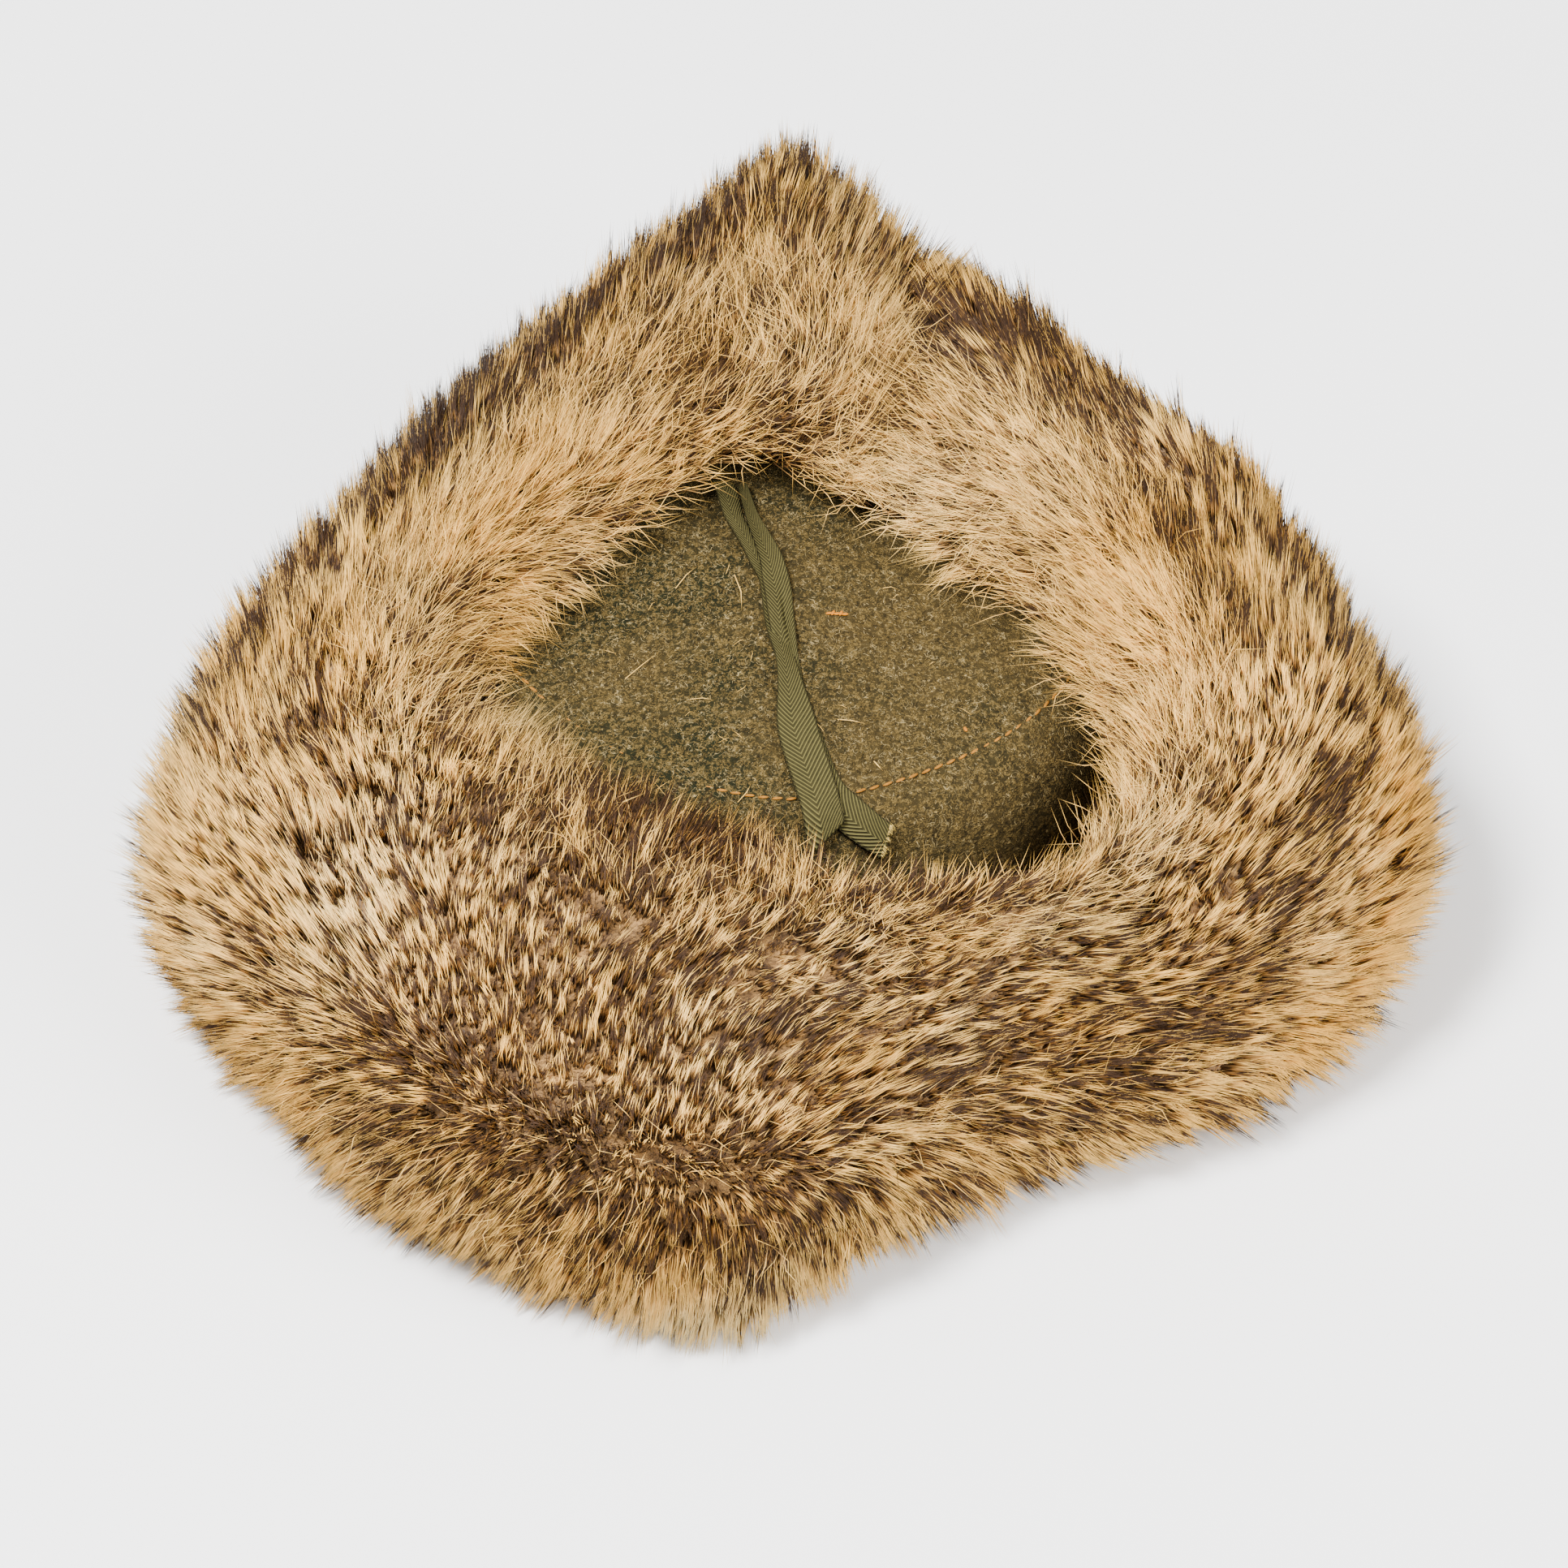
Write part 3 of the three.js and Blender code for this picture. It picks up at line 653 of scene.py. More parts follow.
class Nodes:
    """Short calls for making the nodes of a material or a group."""

    def __init__(self, tree):
        self.tree = tree

    def add(self, kind, **values):
        node = self.tree.nodes.new(kind)
        for key, value in values.items():
            setattr(node, key, value)
        return node

    def link(self, start, end):
        self.tree.links.new(start, end)

    def math(self, operation, first, second=None):
        """A sum on sockets or numbers."""
        node = self.add("ShaderNodeMath", operation=operation)
        for socket, value in zip(node.inputs, (first, second)):
            if value is None:
                continue
            if isinstance(value, (int, float)):
                socket.default_value = value
            else:
                self.link(value, socket)
        return node.outputs[0]

    def mix(self, share, first, second, blend="MIX"):
        """Two colours mixed; each input is a socket, a number or a colour."""
        node = self.add("ShaderNodeMix", data_type="RGBA", blend_type=blend)
        for number, value in ((0, share), (6, first), (7, second)):
            socket = node.inputs[number]
            if isinstance(value, bpy.types.NodeSocket):
                self.link(value, socket)
            elif isinstance(value, (int, float)):
                socket.default_value = value
            else:
                socket.default_value = (*value, 1)
        return node.outputs[2]

    def noise(self, coordinates, scale, detail=2.0, rough=0.5):
        node = self.add("ShaderNodeTexNoise")
        node.inputs["Scale"].default_value = scale
        node.inputs["Detail"].default_value = detail
        node.inputs["Roughness"].default_value = rough
        self.link(coordinates, node.inputs["Vector"])
        return node.outputs["Fac"]

    def ramp(self, value, stops):
        """A colour ramp from pairs of position and colour."""
        node = self.add("ShaderNodeValToRGB")
        points = node.color_ramp.elements
        while len(points) < len(stops):
            points.new(1.0)
        for point, (position, colour) in zip(points, stops):
            point.position = position
            point.color = (*colour, 1)
        self.link(value, node.inputs[0])
        return node.outputs[0]

    def bump(self, height, shader, distance, strength=1.0):
        node = self.add("ShaderNodeBump")
        node.inputs["Strength"].default_value = strength
        node.inputs["Distance"].default_value = distance
        self.link(height, node.inputs["Height"])
        self.link(node.outputs[0], shader.inputs["Normal"])


def new_group(name, inputs, output):
    """A shader node group with named sockets, the calls to add to it, and its inputs."""
    group = bpy.data.node_groups.new(name, "ShaderNodeTree")
    for key, kind in inputs:
        group.interface.new_socket(key, in_out="INPUT", socket_type="NodeSocket" + kind)
    key, kind = output
    group.interface.new_socket(key, in_out="OUTPUT", socket_type="NodeSocket" + kind)
    n = Nodes(group)
    return group, n, n.add("NodeGroupInput").outputs


def new_material(name, roughness, specular=0.25, sheen=0.0):
    """A material, the calls to add to it, and its Principled shader."""
    material = bpy.data.materials.new(name)
    material.use_nodes = True
    tree = material.node_tree
    shader = tree.nodes["Principled BSDF"]
    shader.inputs["Roughness"].default_value = roughness
    shader.inputs["Specular IOR Level"].default_value = specular
    shader.inputs["Sheen Weight"].default_value = sheen
    shader.inputs["Sheen Roughness"].default_value = 0.5
    return material, Nodes(tree), shader


# Where up a hair its colours stand, in a pale hair and in one with a dark tip.
PALE_HAIR = ((0.0, "root"), (0.18, "root"), (0.38, "tan"), (0.58, "cream"), (1.0, "cream"))
TIPPED_HAIR = ((0.0, "root"), (0.18, "root"), (0.27, "tan"), (0.32, "tan"), (0.44, "dark"))

# A hair's brightness beside its neighbours', from the fraction of its number many times over.
BRIGHTNESS = {"least": 0.72, "range": 0.5, "times": 17.3}


def fur_group(colours):
    """A node group that colours a hair by how far up it a place is and by its patch of the pelt."""
    sockets = ("Along", "Dark", "Gold", "Grey", "Chance")
    inputs = [(key, "Float") for key in sockets]
    group, n, inside = new_group("pelt_colour", inputs, ("Colour", "Color"))
    along, dark, gold, grey, chance = (inside[key] for key in sockets)
    pale, tipped = (
        n.ramp(along, [(at, getattr(colours, key)) for at, key in stops])
        for stops in (PALE_HAIR, TIPPED_HAIR)
    )
    pale = n.mix(n.math("MULTIPLY", grey, along), pale, colours.grey)
    is_dark = n.math("LESS_THAN", chance, dark)
    hair = n.mix(is_dark, pale, tipped)
    golden = n.mix(1.0, hair, colours.gold, "MULTIPLY")
    hair = n.mix(gold, hair, golden)
    own = n.math("FRACT", n.math("MULTIPLY", chance, BRIGHTNESS["times"]))
    bright = n.math("ADD", n.math("MULTIPLY", own, BRIGHTNESS["range"]), BRIGHTNESS["least"])
    shade = n.add("ShaderNodeCombineColor")
    for socket in shade.inputs:
        n.link(bright, socket)
    hair = n.mix(1.0, hair, shade.outputs[0], "MULTIPLY")
    n.link(hair, n.add("NodeGroupOutput").inputs[0])
    return group


def fur_material(settings):
    """Hairs that are dark at the root, tan above and cream or dark at the tip."""
    material, n, shader = new_material("rabbit_fur", 0.6, 0.12)
    coat = n.add("ShaderNodeAttribute", attribute_name="coat")
    parts = n.add("ShaderNodeSeparateColor")
    n.link(coat.outputs["Color"], parts.inputs[0])
    chance = n.add("ShaderNodeAttribute", attribute_name="chance")
    colour = n.add("ShaderNodeGroup", node_tree=fur_group(settings))
    for part, key in zip(parts.outputs, ("Along", "Dark", "Gold")):
        n.link(part, colour.inputs[key])
    n.link(coat.outputs["Alpha"], colour.inputs["Grey"])
    n.link(chance.outputs["Fac"], colour.inputs["Chance"])
    n.link(colour.outputs[0], shader.inputs["Base Color"])
    return material


def pelt_material(settings):
    """The dense short wool under the hairs."""
    material, n, shader = new_material("fur_underwool", 0.9, sheen=0.1)
    place = n.add("ShaderNodeTexCoord").outputs["Object"]
    mottle = n.noise(place, 160.0, 4.0, 0.6)
    colour = n.ramp(mottle, ((0.3, settings.root), (0.7, settings.tan)))
    n.link(colour, shader.inputs["Base Color"])
    n.bump(n.noise(place, 900.0, 3.0), shader, 0.002)
    return material


CURL = {"detail": 1.5, "bend": 1.2, "gap_scale": 0.8, "gap_share": 0.46, "gap_edge": 9.0}

# Layers of fibres on the felt: scale, width, strength and colour.
FIBRES = (
    (520.0, 0.045, 0.8, "straw"),
    (760.0, 0.065, 0.8, "straw"),
    (920.0, 0.085, 0.6, "straw"),
    (400.0, 0.02, 0.65, "pale"),
    (520.0, 0.06, 0.7, "shade"),
)


def fibre_group():
    """A node group whose mask is thin curly lines, the contour of a noise that is bent on itself."""
    inputs = (("Place", "Vector"), ("Scale", "Float"), ("Width", "Float"))
    group, n, inside = new_group("curly_fibres", inputs, ("Mask", "Float"))
    noise = n.add("ShaderNodeTexNoise")
    noise.inputs["Detail"].default_value = CURL["detail"]
    noise.inputs["Distortion"].default_value = CURL["bend"]
    n.link(inside["Place"], noise.inputs["Vector"])
    n.link(inside["Scale"], noise.inputs["Scale"])
    apart = n.math("ABSOLUTE", n.math("SUBTRACT", noise.outputs["Fac"], 0.5))
    near = n.math("DIVIDE", apart, inside["Width"])
    line = n.math("SUBTRACT", 1.0, n.math("MINIMUM", near, 1.0))
    pieces = n.add("ShaderNodeTexNoise")
    n.link(inside["Place"], pieces.inputs["Vector"])
    n.link(n.math("MULTIPLY", inside["Scale"], CURL["gap_scale"]), pieces.inputs["Scale"])
    shown = n.math("SUBTRACT", pieces.outputs["Fac"], CURL["gap_share"])
    shown = n.math("MULTIPLY", shown, CURL["gap_edge"])
    mask = n.math("MULTIPLY", line, n.math("MINIMUM", n.math("MAXIMUM", shown, 0.0), 1.0))
    n.link(mask, n.add("NodeGroupOutput").inputs[0])
    return group


def felt_material(settings):
    """Felted wool, olive with golden, pale and dark fibres, and painted shade in its pits."""
    material, n, shader = new_material("olive_felt", 0.95, 0.05)
    place = n.add("ShaderNodeTexCoord").outputs["Object"]
    parts = n.add("ShaderNodeSeparateXYZ")
    n.link(place, parts.inputs[0])
    browner = n.math("MULTIPLY", parts.outputs[0], 2.6)
    wide = n.math("ADD", n.noise(place, 26.0, 3.0, 0.55), browner)
    ground = n.ramp(wide, ((0.34, settings.moss), (0.62, settings.olive)))
    # Painted shade: the pits of the bump are darkened towards the shade colour.
    depth = n.noise(place, 620.0, 4.0, 0.75)
    pit_painted_shade = n.ramp(depth, ((0.32, (0.55, 0.55, 0.55)), (0.54, (0, 0, 0))))
    colour = n.mix(pit_painted_shade, ground, settings.shade)
    group = fibre_group()
    masks = []
    for number, (scale, width, strength, tint) in enumerate(FIBRES):
        moved = n.add("ShaderNodeMapping")
        moved.inputs["Location"].default_value = (0.31 * number, 0.17 * number, 0.23 * number)
        n.link(place, moved.inputs["Vector"])
        fibres = n.add("ShaderNodeGroup", node_tree=group)
        fibres.inputs["Scale"].default_value = scale
        fibres.inputs["Width"].default_value = width
        n.link(moved.outputs[0], fibres.inputs["Place"])
        shown = n.math("MULTIPLY", fibres.outputs[0], strength)
        colour = n.mix(shown, colour, getattr(settings, tint))
        masks.append(fibres.outputs[0])
    n.link(colour, shader.inputs["Base Color"])
    n.bump(n.math("ADD", depth, n.math("ADD", masks[0], masks[1])), shader, 0.0008, 0.8)
    return material


# The twill: how steeply its ribs run, half its width in metres, how far out the painted shade at its
# edges starts, and how strong that painted shade is and how far the ribs are worn.
TWILL = {"slope": 1.25, "half_width": 0.005, "edge_from": 0.0046, "edge_painted_shade": 0.75, "worn": 0.35}


def tape_material(settings):
    """Herringbone twill: diagonal ribs that meet in a point along the tape; painted shade in the
    grooves and at the edges.
    """
    material, n, shader = new_material("herringbone_tape", 0.85, 0.08)
    spot = n.add("ShaderNodeUVMap", uv_map="Weave").outputs[0]
    parts = n.add("ShaderNodeSeparateXYZ")
    n.link(spot, parts.inputs[0])
    across, along = parts.outputs[0], parts.outputs[1]
    fold = n.math("ABSOLUTE", n.math("SUBTRACT", across, settings.chevron_place))
    ribs = n.math("MULTIPLY", along, 1 / settings.rib_pitch)
    run = n.math("ADD", ribs, n.math("MULTIPLY", fold, TWILL["slope"] / settings.rib_pitch))
    wave = n.math("SINE", n.math("MULTIPLY", run, 2 * math.pi))
    height = n.math("ADD", n.math("MULTIPLY", wave, 0.5), 0.5)
    place = n.add("ShaderNodeTexCoord").outputs["Object"]
    # Painted shade: the colour darkens with the rib height into the grooves between the ribs.
    colour = n.mix(height, settings.tape_painted_shade, settings.tape_light)
    # Painted shade along both edges of the tape.
    aside = n.math("ABSOLUTE", n.math("SUBTRACT", across, TWILL["half_width"]))
    edge = n.math("GREATER_THAN", aside, TWILL["edge_from"])
    colour = n.mix(n.math("MULTIPLY", edge, TWILL["edge_painted_shade"]), colour, settings.tape_painted_shade)
    worn = n.math("MULTIPLY", n.noise(place, 900.0, 2.0), TWILL["worn"])
    colour = n.mix(worn, colour, settings.tape_worn)
    n.link(colour, shader.inputs["Base Color"])
    n.bump(height, shader, 0.0006)
    return material


def plain_material(name, colour, roughness, fleck):
    """A thread or hair colour with a fleck of light and dark."""
    material, n, shader = new_material(name, roughness, 0.08)
    place = n.add("ShaderNodeTexCoord").outputs["Object"]
    mottle = n.noise(place, 700.0, 2.0)
    darker = tuple(c * (1 - fleck) for c in colour)
    n.link(n.ramp(mottle, ((0.35, darker), (0.65, colour))), shader.inputs["Base Color"])
    return material


# Settings


def length_property(name, description, default):
    """A length setting in metres."""
    return FloatProperty(name=name, description=description, default=default, unit="LENGTH")


def colour_property(name, description, seen):
    """A colour setting from its screen values."""
    return FloatVectorProperty(
        name=name, description=description, subtype="COLOR", size=3, min=0, max=1, default=linear(*seen)
    )


class FurSettings(PropertyGroup):
    """The fur's sizes and colours."""

    hairs: IntProperty(name="Hairs", description="Short hairs over all three flaps", default=178000)
    guards: IntProperty(name="Guard Hairs", description="Long bent hairs over all flaps", default=9500)
    length: length_property("Hair Length", "Length of a short hair", 0.0125)
    width: length_property("Hair Width", "Width at the root", 0.00037)
    lock: length_property("Lock Radius", "How far round hairs join in a lock", 0.0017)
    tuft: length_property("Tuft Radius", "How far round locks lean together", 0.0028)
    per_lock: IntProperty(name="Hairs in a Lock", description="Hairs that grow together", default=8)
    over: IntProperty(
        name="Over Hairs", description="Hairs that stand out of a lock near the free edge", default=3
    )
    depth: length_property("Fur Depth", "From the outline in to the roots", 0.0065)
    lift: FloatProperty(
        name="Lift", description="How steeply a hair leaves the hide",
        default=math.radians(33), subtype="ANGLE",
    )
    root: colour_property("Root", "Colour of the wool at the roots", (68, 48, 30))
    tan: colour_property("Tan", "Middle of a hair", (162, 122, 70))
    cream: colour_property("Cream", "Pale tips", (242, 196, 104))
    dark: colour_property("Dark", "Dark tips", (62, 45, 33))
    gold: colour_property("Gold", "Tint of the golden patches", (250, 222, 150))
    grey: colour_property("Grey", "Pale grey patches", (232, 206, 148))


class ClothSettings(PropertyGroup):
    """The crown's, the tapes' and the thread's sizes and colours."""

    felt: length_property("Felt", "Thickness of the wool felt", 0.0024)
    fuzz: IntProperty(name="Fuzz", description="Fibres that stand out of the felt", default=4200)
    olive: colour_property("Olive", "Felt where it is browner", (57, 47, 26))
    moss: colour_property("Moss", "Felt where it is greener", (26, 28, 16))
    straw: colour_property("Straw", "Golden fibres", (128, 106, 60))
    pale: colour_property("Pale", "Pale fibres", (170, 150, 104))
    # Painted shade in the felt's pits; also the colour of its dark fibres.
    shade: colour_property("Shade", "Between the fibres", (15, 14, 9))
    tape_thickness: length_property("Tape", "Thickness of the tapes", 0.0009)
    rib_pitch: length_property("Rib Pitch", "From rib to rib of the twill", 0.0014)
    chevron_place: length_property("Chevron", "Where the ribs meet, across the tape", 0.004)
    tape_light: colour_property("Tape Light", "Ribs of the tape", (96, 90, 50))
    # Painted shade in the grooves between the tape's ribs and along its edges.
    tape_painted_shade: colour_property("Tape Painted Shade", "Between the ribs", (20, 20, 11))
    tape_worn: colour_property("Tape Worn", "Worn threads", (104, 94, 56))
    fray: colour_property("Fray", "Loose threads at the tape's end", (176, 150, 80))
    stitch: length_property("Stitch", "Length of a stitch", 0.003)
    thread: colour_property("Thread", "Orange thread of the seam", (148, 98, 32))
    tack: colour_property("Tack", "Bright thread of the bar tack", (176, 108, 22))


class StageSettings(PropertyGroup):
    """The floor, lights and camera."""

    floor: colour_property("Floor", "Colour of the floor", (250, 250, 250))
    sky: FloatProperty(name="Sky", description="Strength of the even light", default=0.85)
    key: FloatProperty(
        name="Key Light", description="Power of the main light", default=158.0, unit="POWER"
    )
    fill: FloatProperty(
        name="Fill Light", description="Power of the second light", default=60.0, unit="POWER"
    )


# Operators


class FURCAP_OT_stage(Operator):
    """Adds the floor, the lights and the camera"""

    bl_idname = "furcap.stage"
    bl_label = "Stage"

    def execute(self, context):
        settings = context.scene.fur_cap_stage
        self.floor(settings)
        self.lights(context, settings)
        self.camera(context)
        return {"FINISHED"}

    def floor(self, settings):
        """The pale floor under the cap."""
        made = bmesh.new()
        bmesh.ops.create_grid(made, x_segments=1, y_segments=1, size=FLOOR["half_size"])
        mesh = bpy.data.meshes.new("floor")
        made.to_mesh(mesh)
        made.free()
        material, _, shader = new_material("pale_floor", 0.9)
        shader.inputs["Base Color"].default_value = (*settings.floor, 1)
        mesh.materials.append(material)
        floor = bpy.data.objects.new("floor", mesh)
        floor.location.z = FLOOR["height"]
        bpy.context.scene.collection.objects.link(floor)

    def lights(self, context, settings):
        """The even light all round and the two soft lamps."""
        world = bpy.data.worlds.new("soft_studio")
        world.use_nodes = True
        back = world.node_tree.nodes["Background"]
        back.inputs["Color"].default_value = (1.0, 1.0, 1.0, 1)
        back.inputs["Strength"].default_value = settings.sky
        context.scene.world = world
        for name, power, place, size in LAMPS:
            light = bpy.data.lights.new(name, "AREA")
            light.energy = getattr(settings, power)
            light.size = size
            lamp = bpy.data.objects.new(name, light)
            lamp.location = place
            lamp.rotation_mode = "QUATERNION"
            lamp.rotation_quaternion = Vector(place).to_track_quat("Z", "Y")
            context.scene.collection.objects.link(lamp)

    def camera(self, context):
        """The long lens in front of the cap and above it."""
        lens = bpy.data.cameras.new("photo_camera")
        lens.lens = CAMERA["lens"]
        lens.sensor_width = CAMERA["sensor"]
        lens.clip_start = 0.1
        camera = bpy.data.objects.new("photo_camera", lens)
        back = Vector((0, -math.cos(VIEW_ELEVATION), math.sin(VIEW_ELEVATION)))
        up = Vector((0, math.sin(VIEW_ELEVATION), math.cos(VIEW_ELEVATION)))
        aim = CROWN_MIDDLE + Vector((1, 0, 0)) * CAMERA["aim_right"] * MM + up * CAMERA["aim_up"] * MM
        camera.location = aim + back * CAMERA["distance"]
        camera.rotation_mode = "QUATERNION"
        camera.rotation_quaternion = back.to_track_quat("Z", "Y")
        context.scene.collection.objects.link(camera)
        context.scene.camera = camera


# The crown's sections: how many cross the top, the rounded shoulder and the wall, and how many
# corners each has. Its sag is two waves of noise: height and scale in millimetres, and seed.
CROWN_GRID = {"top": 26, "bend": 12, "wall": 14, "around": 180}
CROWN_SAG = ((0.5, 46, 5), (0.25, 17, 6))
SAG_FULL_AT = 90


def crown_sections(felt):
    """Closed sections of the felt from the top's middle down the outside and up the inside."""
    levels = [("top", step) for step in np.linspace(0.02, 1, CROWN_GRID["top"])]
    levels += [("bend", turn) for turn in np.linspace(0, math.pi / 2, CROWN_GRID["bend"])[:0:-1]]
    levels += [("wall", part) for part in np.linspace(1, 0, CROWN_GRID["wall"])]
    angles = np.linspace(0, 2 * math.pi, CROWN_GRID["around"], endpoint=False)

    def ring(kind, value, inset):
        """One section, set in from the outside by the thickness of the felt or by nothing."""
        if kind == "top":
            x, y = on_outline(SEAM, angles, inset)
            x, y = x * value, y * value
            z = top_height(x, y) - inset
        elif kind == "bend":
            x, y = on_outline(outline_size(1 - math.cos(value)), angles, inset)
            top = seam_height(y) - inset
            z = SHOULDER_START + (top - SHOULDER_START) * math.sin(value)
        else:
            x, y = on_outline(RIM, angles, inset)
            z = np.full_like(x, SHOULDER_START * value)
        points = np.stack([x, y, z], 1)
        sag = sum(high * soft_noise(points, scale, seed) for high, scale, seed in CROWN_SAG)
        points[:, 2] += sag * np.clip(z / SAG_FULL_AT, 0, 1)
        return in_row(points)

    outside = [ring(kind, value, 0.0) for kind, value in levels]
    inside = [ring(kind, value, felt) for kind, value in reversed(levels)]
    return outside + inside


class FURCAP_OT_crown(Operator):
    """Adds the felted crown"""

    bl_idname = "furcap.crown"
    bl_label = "Crown"

    def execute(self, context):
        cloth = context.scene.fur_cap_cloth
        mesh = closed_loft("felt_crown", crown_sections(cloth.felt / MM))
        nodes = ("crown_side_band", "crown_top_panel")
        new_object("felt_crown", mesh, [felt_material(cloth)], "wool", *nodes)
        return {"FINISHED"}


# The flaps' hides, in millimetres: the gap to the crown, the heights of the inner wall's sections, the
# recess where the free edge stands off the crown, and the rounding of the flap's two ends.
INNER_CLEARANCE = 2.2
WALL_HEIGHTS = (99, 94, 88, 78, 66, 50, 34, 20)
RECESS = {"depth": 26.0, "full_at": 14.0}
FLAP_END = {"gap": 1.0, "reach": 6, "tuck": 8}

# The outer face's sections run from low to high. The lip's stand at parts of the way up, this far in.
OUTER = {"low": 0.03, "high": 0.94, "count": 44}
LIP = ((0.955, 1.5), (0.962, 4.0), (0.955, 6.5))
LIP_DROP = 3

# The sole's height and its inner corner's, its sections' places from rim to foot, and how far in from
# the fur's foot it ends.
SOLE = {"low": 1.0, "corner": 8.0, "parts": (0.35, 0.7, 1.0), "inset": 9}


def pelt_sections(flap, depth):
    """Closed sections of a flap, a little inside the fur's outline, and which columns are of felt."""
    surface = fur()
    start, end = FLAPS[flap]
    gap = FLAP_END["gap"]
    bearings = np.linspace(start + gap, end - gap, round((end - start) / 2) + 1)
    count = len(bearings)
    rounds = []
    shrink = np.clip(np.minimum(bearings - start, end - bearings) / FLAP_END["reach"], 0, 1) ** 0.5
    tuck = (1 - shrink) * FLAP_END["tuck"]
    outer = [(along, 0.0) for along in np.linspace(OUTER["low"], OUTER["high"], OUTER["count"])]
    for along, deep in (*outer, *LIP):
        point, normal, *_ = surface.place(bearings, np.full(count, along))
        rounds.append(point - normal * (depth + deep + tuck)[:, None])
    lip = rounds[-1]
    lip_r = np.hypot(lip[:, 0], lip[:, 1] - MIDDLE_Y)
    edge = np.radians(bearings)
    foot = surface.read(surface.angle[..., None], bearings, np.zeros(count))[:, 0]
    foot = edge + np.mod(foot - edge + math.pi, 2 * math.pi) - math.pi
    top_reach = crown_reach(edge, np.full(count, float(WALL_HEIGHTS[0])))
    stand = np.clip((lip_r - top_reach) / RECESS["full_at"], 0, 1)
    recess = RECESS["depth"] * stand * stand * (3 - 2 * stand)
    wall = []
    for height in WALL_HEIGHTS:
        z = np.minimum(height - recess * (height / WALL_HEIGHTS[0]) ** 2, lip[:, 2] - LIP_DROP)
        turn = foot + (edge - foot) * np.minimum(z / lip[:, 2], 1)
        r = crown_reach(turn, z) + INNER_CLEARANCE
        wall.append((r, z, turn))
    r = (lip_r + wall[0][0]) / 2
    x, y = r * np.cos(edge), MIDDLE_Y + r * np.sin(edge)
    over_crown = np.maximum(crown_height(x, y), wall[0][1]) + INNER_CLEARANCE
    z = np.minimum(over_crown, lip[:, 2] - recess / 2)
    wall.insert(0, (r, z, edge))
    low = np.full(count, SOLE["low"])
    rim = crown_reach(foot, low) + INNER_CLEARANCE
    wall += [(rim, np.full(count, SOLE["corner"]), foot), (rim, low, foot)]
    base = surface.read(surface.radius[..., None], bearings, np.zeros(count))[:, 0]
    for part in SOLE["parts"]:
        wall.append((rim + (base - SOLE["inset"] - rim) * part, low, foot))
    rounds += [np.stack([r * np.cos(a), MIDDLE_Y + r * np.sin(a), z], 1) for r, z, a in wall]
    sections = np.stack(rounds, 1)
    sections[..., 2] = np.maximum(sections[..., 2], SOLE["low"])
    felted = range(len(outer) + len(LIP) - 1, len(rounds) - len(SOLE["parts"]) - 1)
    return in_row(sections), felted


class FURCAP_OT_pelts(Operator):
    """Adds the hide and underwool of each flap"""

    bl_idname = "furcap.pelts"
    bl_label = "Pelts"

    def execute(self, context):
        settings = context.scene.fur_cap_fur
        cloth = context.scene.fur_cap_cloth
        materials = [pelt_material(settings), felt_material(cloth)]
        for flap in FLAPS:
            sections, inner = pelt_sections(flap, settings.depth / MM)
            mesh = closed_loft(flap + "_pelt", sections, felted=inner)
            new_object(flap + "_pelt", mesh, materials, "fur", flap)
        return {"FINISHED"}


# The zones of a flap's hairs, from foot to free edge, and the part of it that carries hairs.
ZONES = (("skirt", 0.0, 0.36), ("face", 0.36, 0.7), ("crest", 0.7, 0.98))
HAIRY = (0, 0.96)

# The front flap's free edge: by bearing, how far its roots move back from it and how much shorter its
# hairs are, so that their tips end at the outline.
EDGE_BACK = (
    (192, 205, 262, 274, 292, 302, 322),
    (0.0, 0.12, 0.14, 0.5, 0.44, 0.16, 0.0),
)
EDGE_BACK_FROM = 0.8
EDGE_CUT = (
    (190, 196, 205, 235, 262, 274, 292, 302, 324),
    (0, 0.2, 0.6, 0.6, 0.5, 0.7, 0.7, 0.5, 0.4),
)
EDGE_CUT_FROM = {"start": 0.7, "reach": 0.25, "most": 0.42}


def back_from_edge(flap, bearing, along):
    """The front flap's free edge is bare of roots, so that its tips end at the outline."""
    if flap != "front_flap":
        return along
    return along - np.interp(bearing, *EDGE_BACK) * np.clip(along - EDGE_BACK_FROM, 0, 1)


# How the lie of the fur wanders: broad and fine noise as scale in millimetres, seed and strength, and
# chance from hair to hair. The front flap's is calmer.
SWIRL = {"broad": (60, 11, 0.30), "fine": (22, 12), "chance": 0.13}
SWIRL_FINE = ((0.6, 0.85), (0.18, 0.30))
CALM = {"front_flap": 0.6}

# How its steepness wanders, and its tones: scale and seed of the noise for dark tips, gold and grey,
# their strengths, and fine noise on the dark tips alone.
STEEP = {"chance": 0.18, "scale": 35, "seed": 13, "strength": 0.15}
BLOTCHES = ((26, 21), (40, 22), (36, 23))
BLOTCH_SHARES = {"dark": 0.20, "gold": 0.16, "grey": 0.10}
BLOTCH_DARK = {"front_flap": 0.10}
DAPPLE = {"scale": 10, "seed": 24, "strength": 0.12}


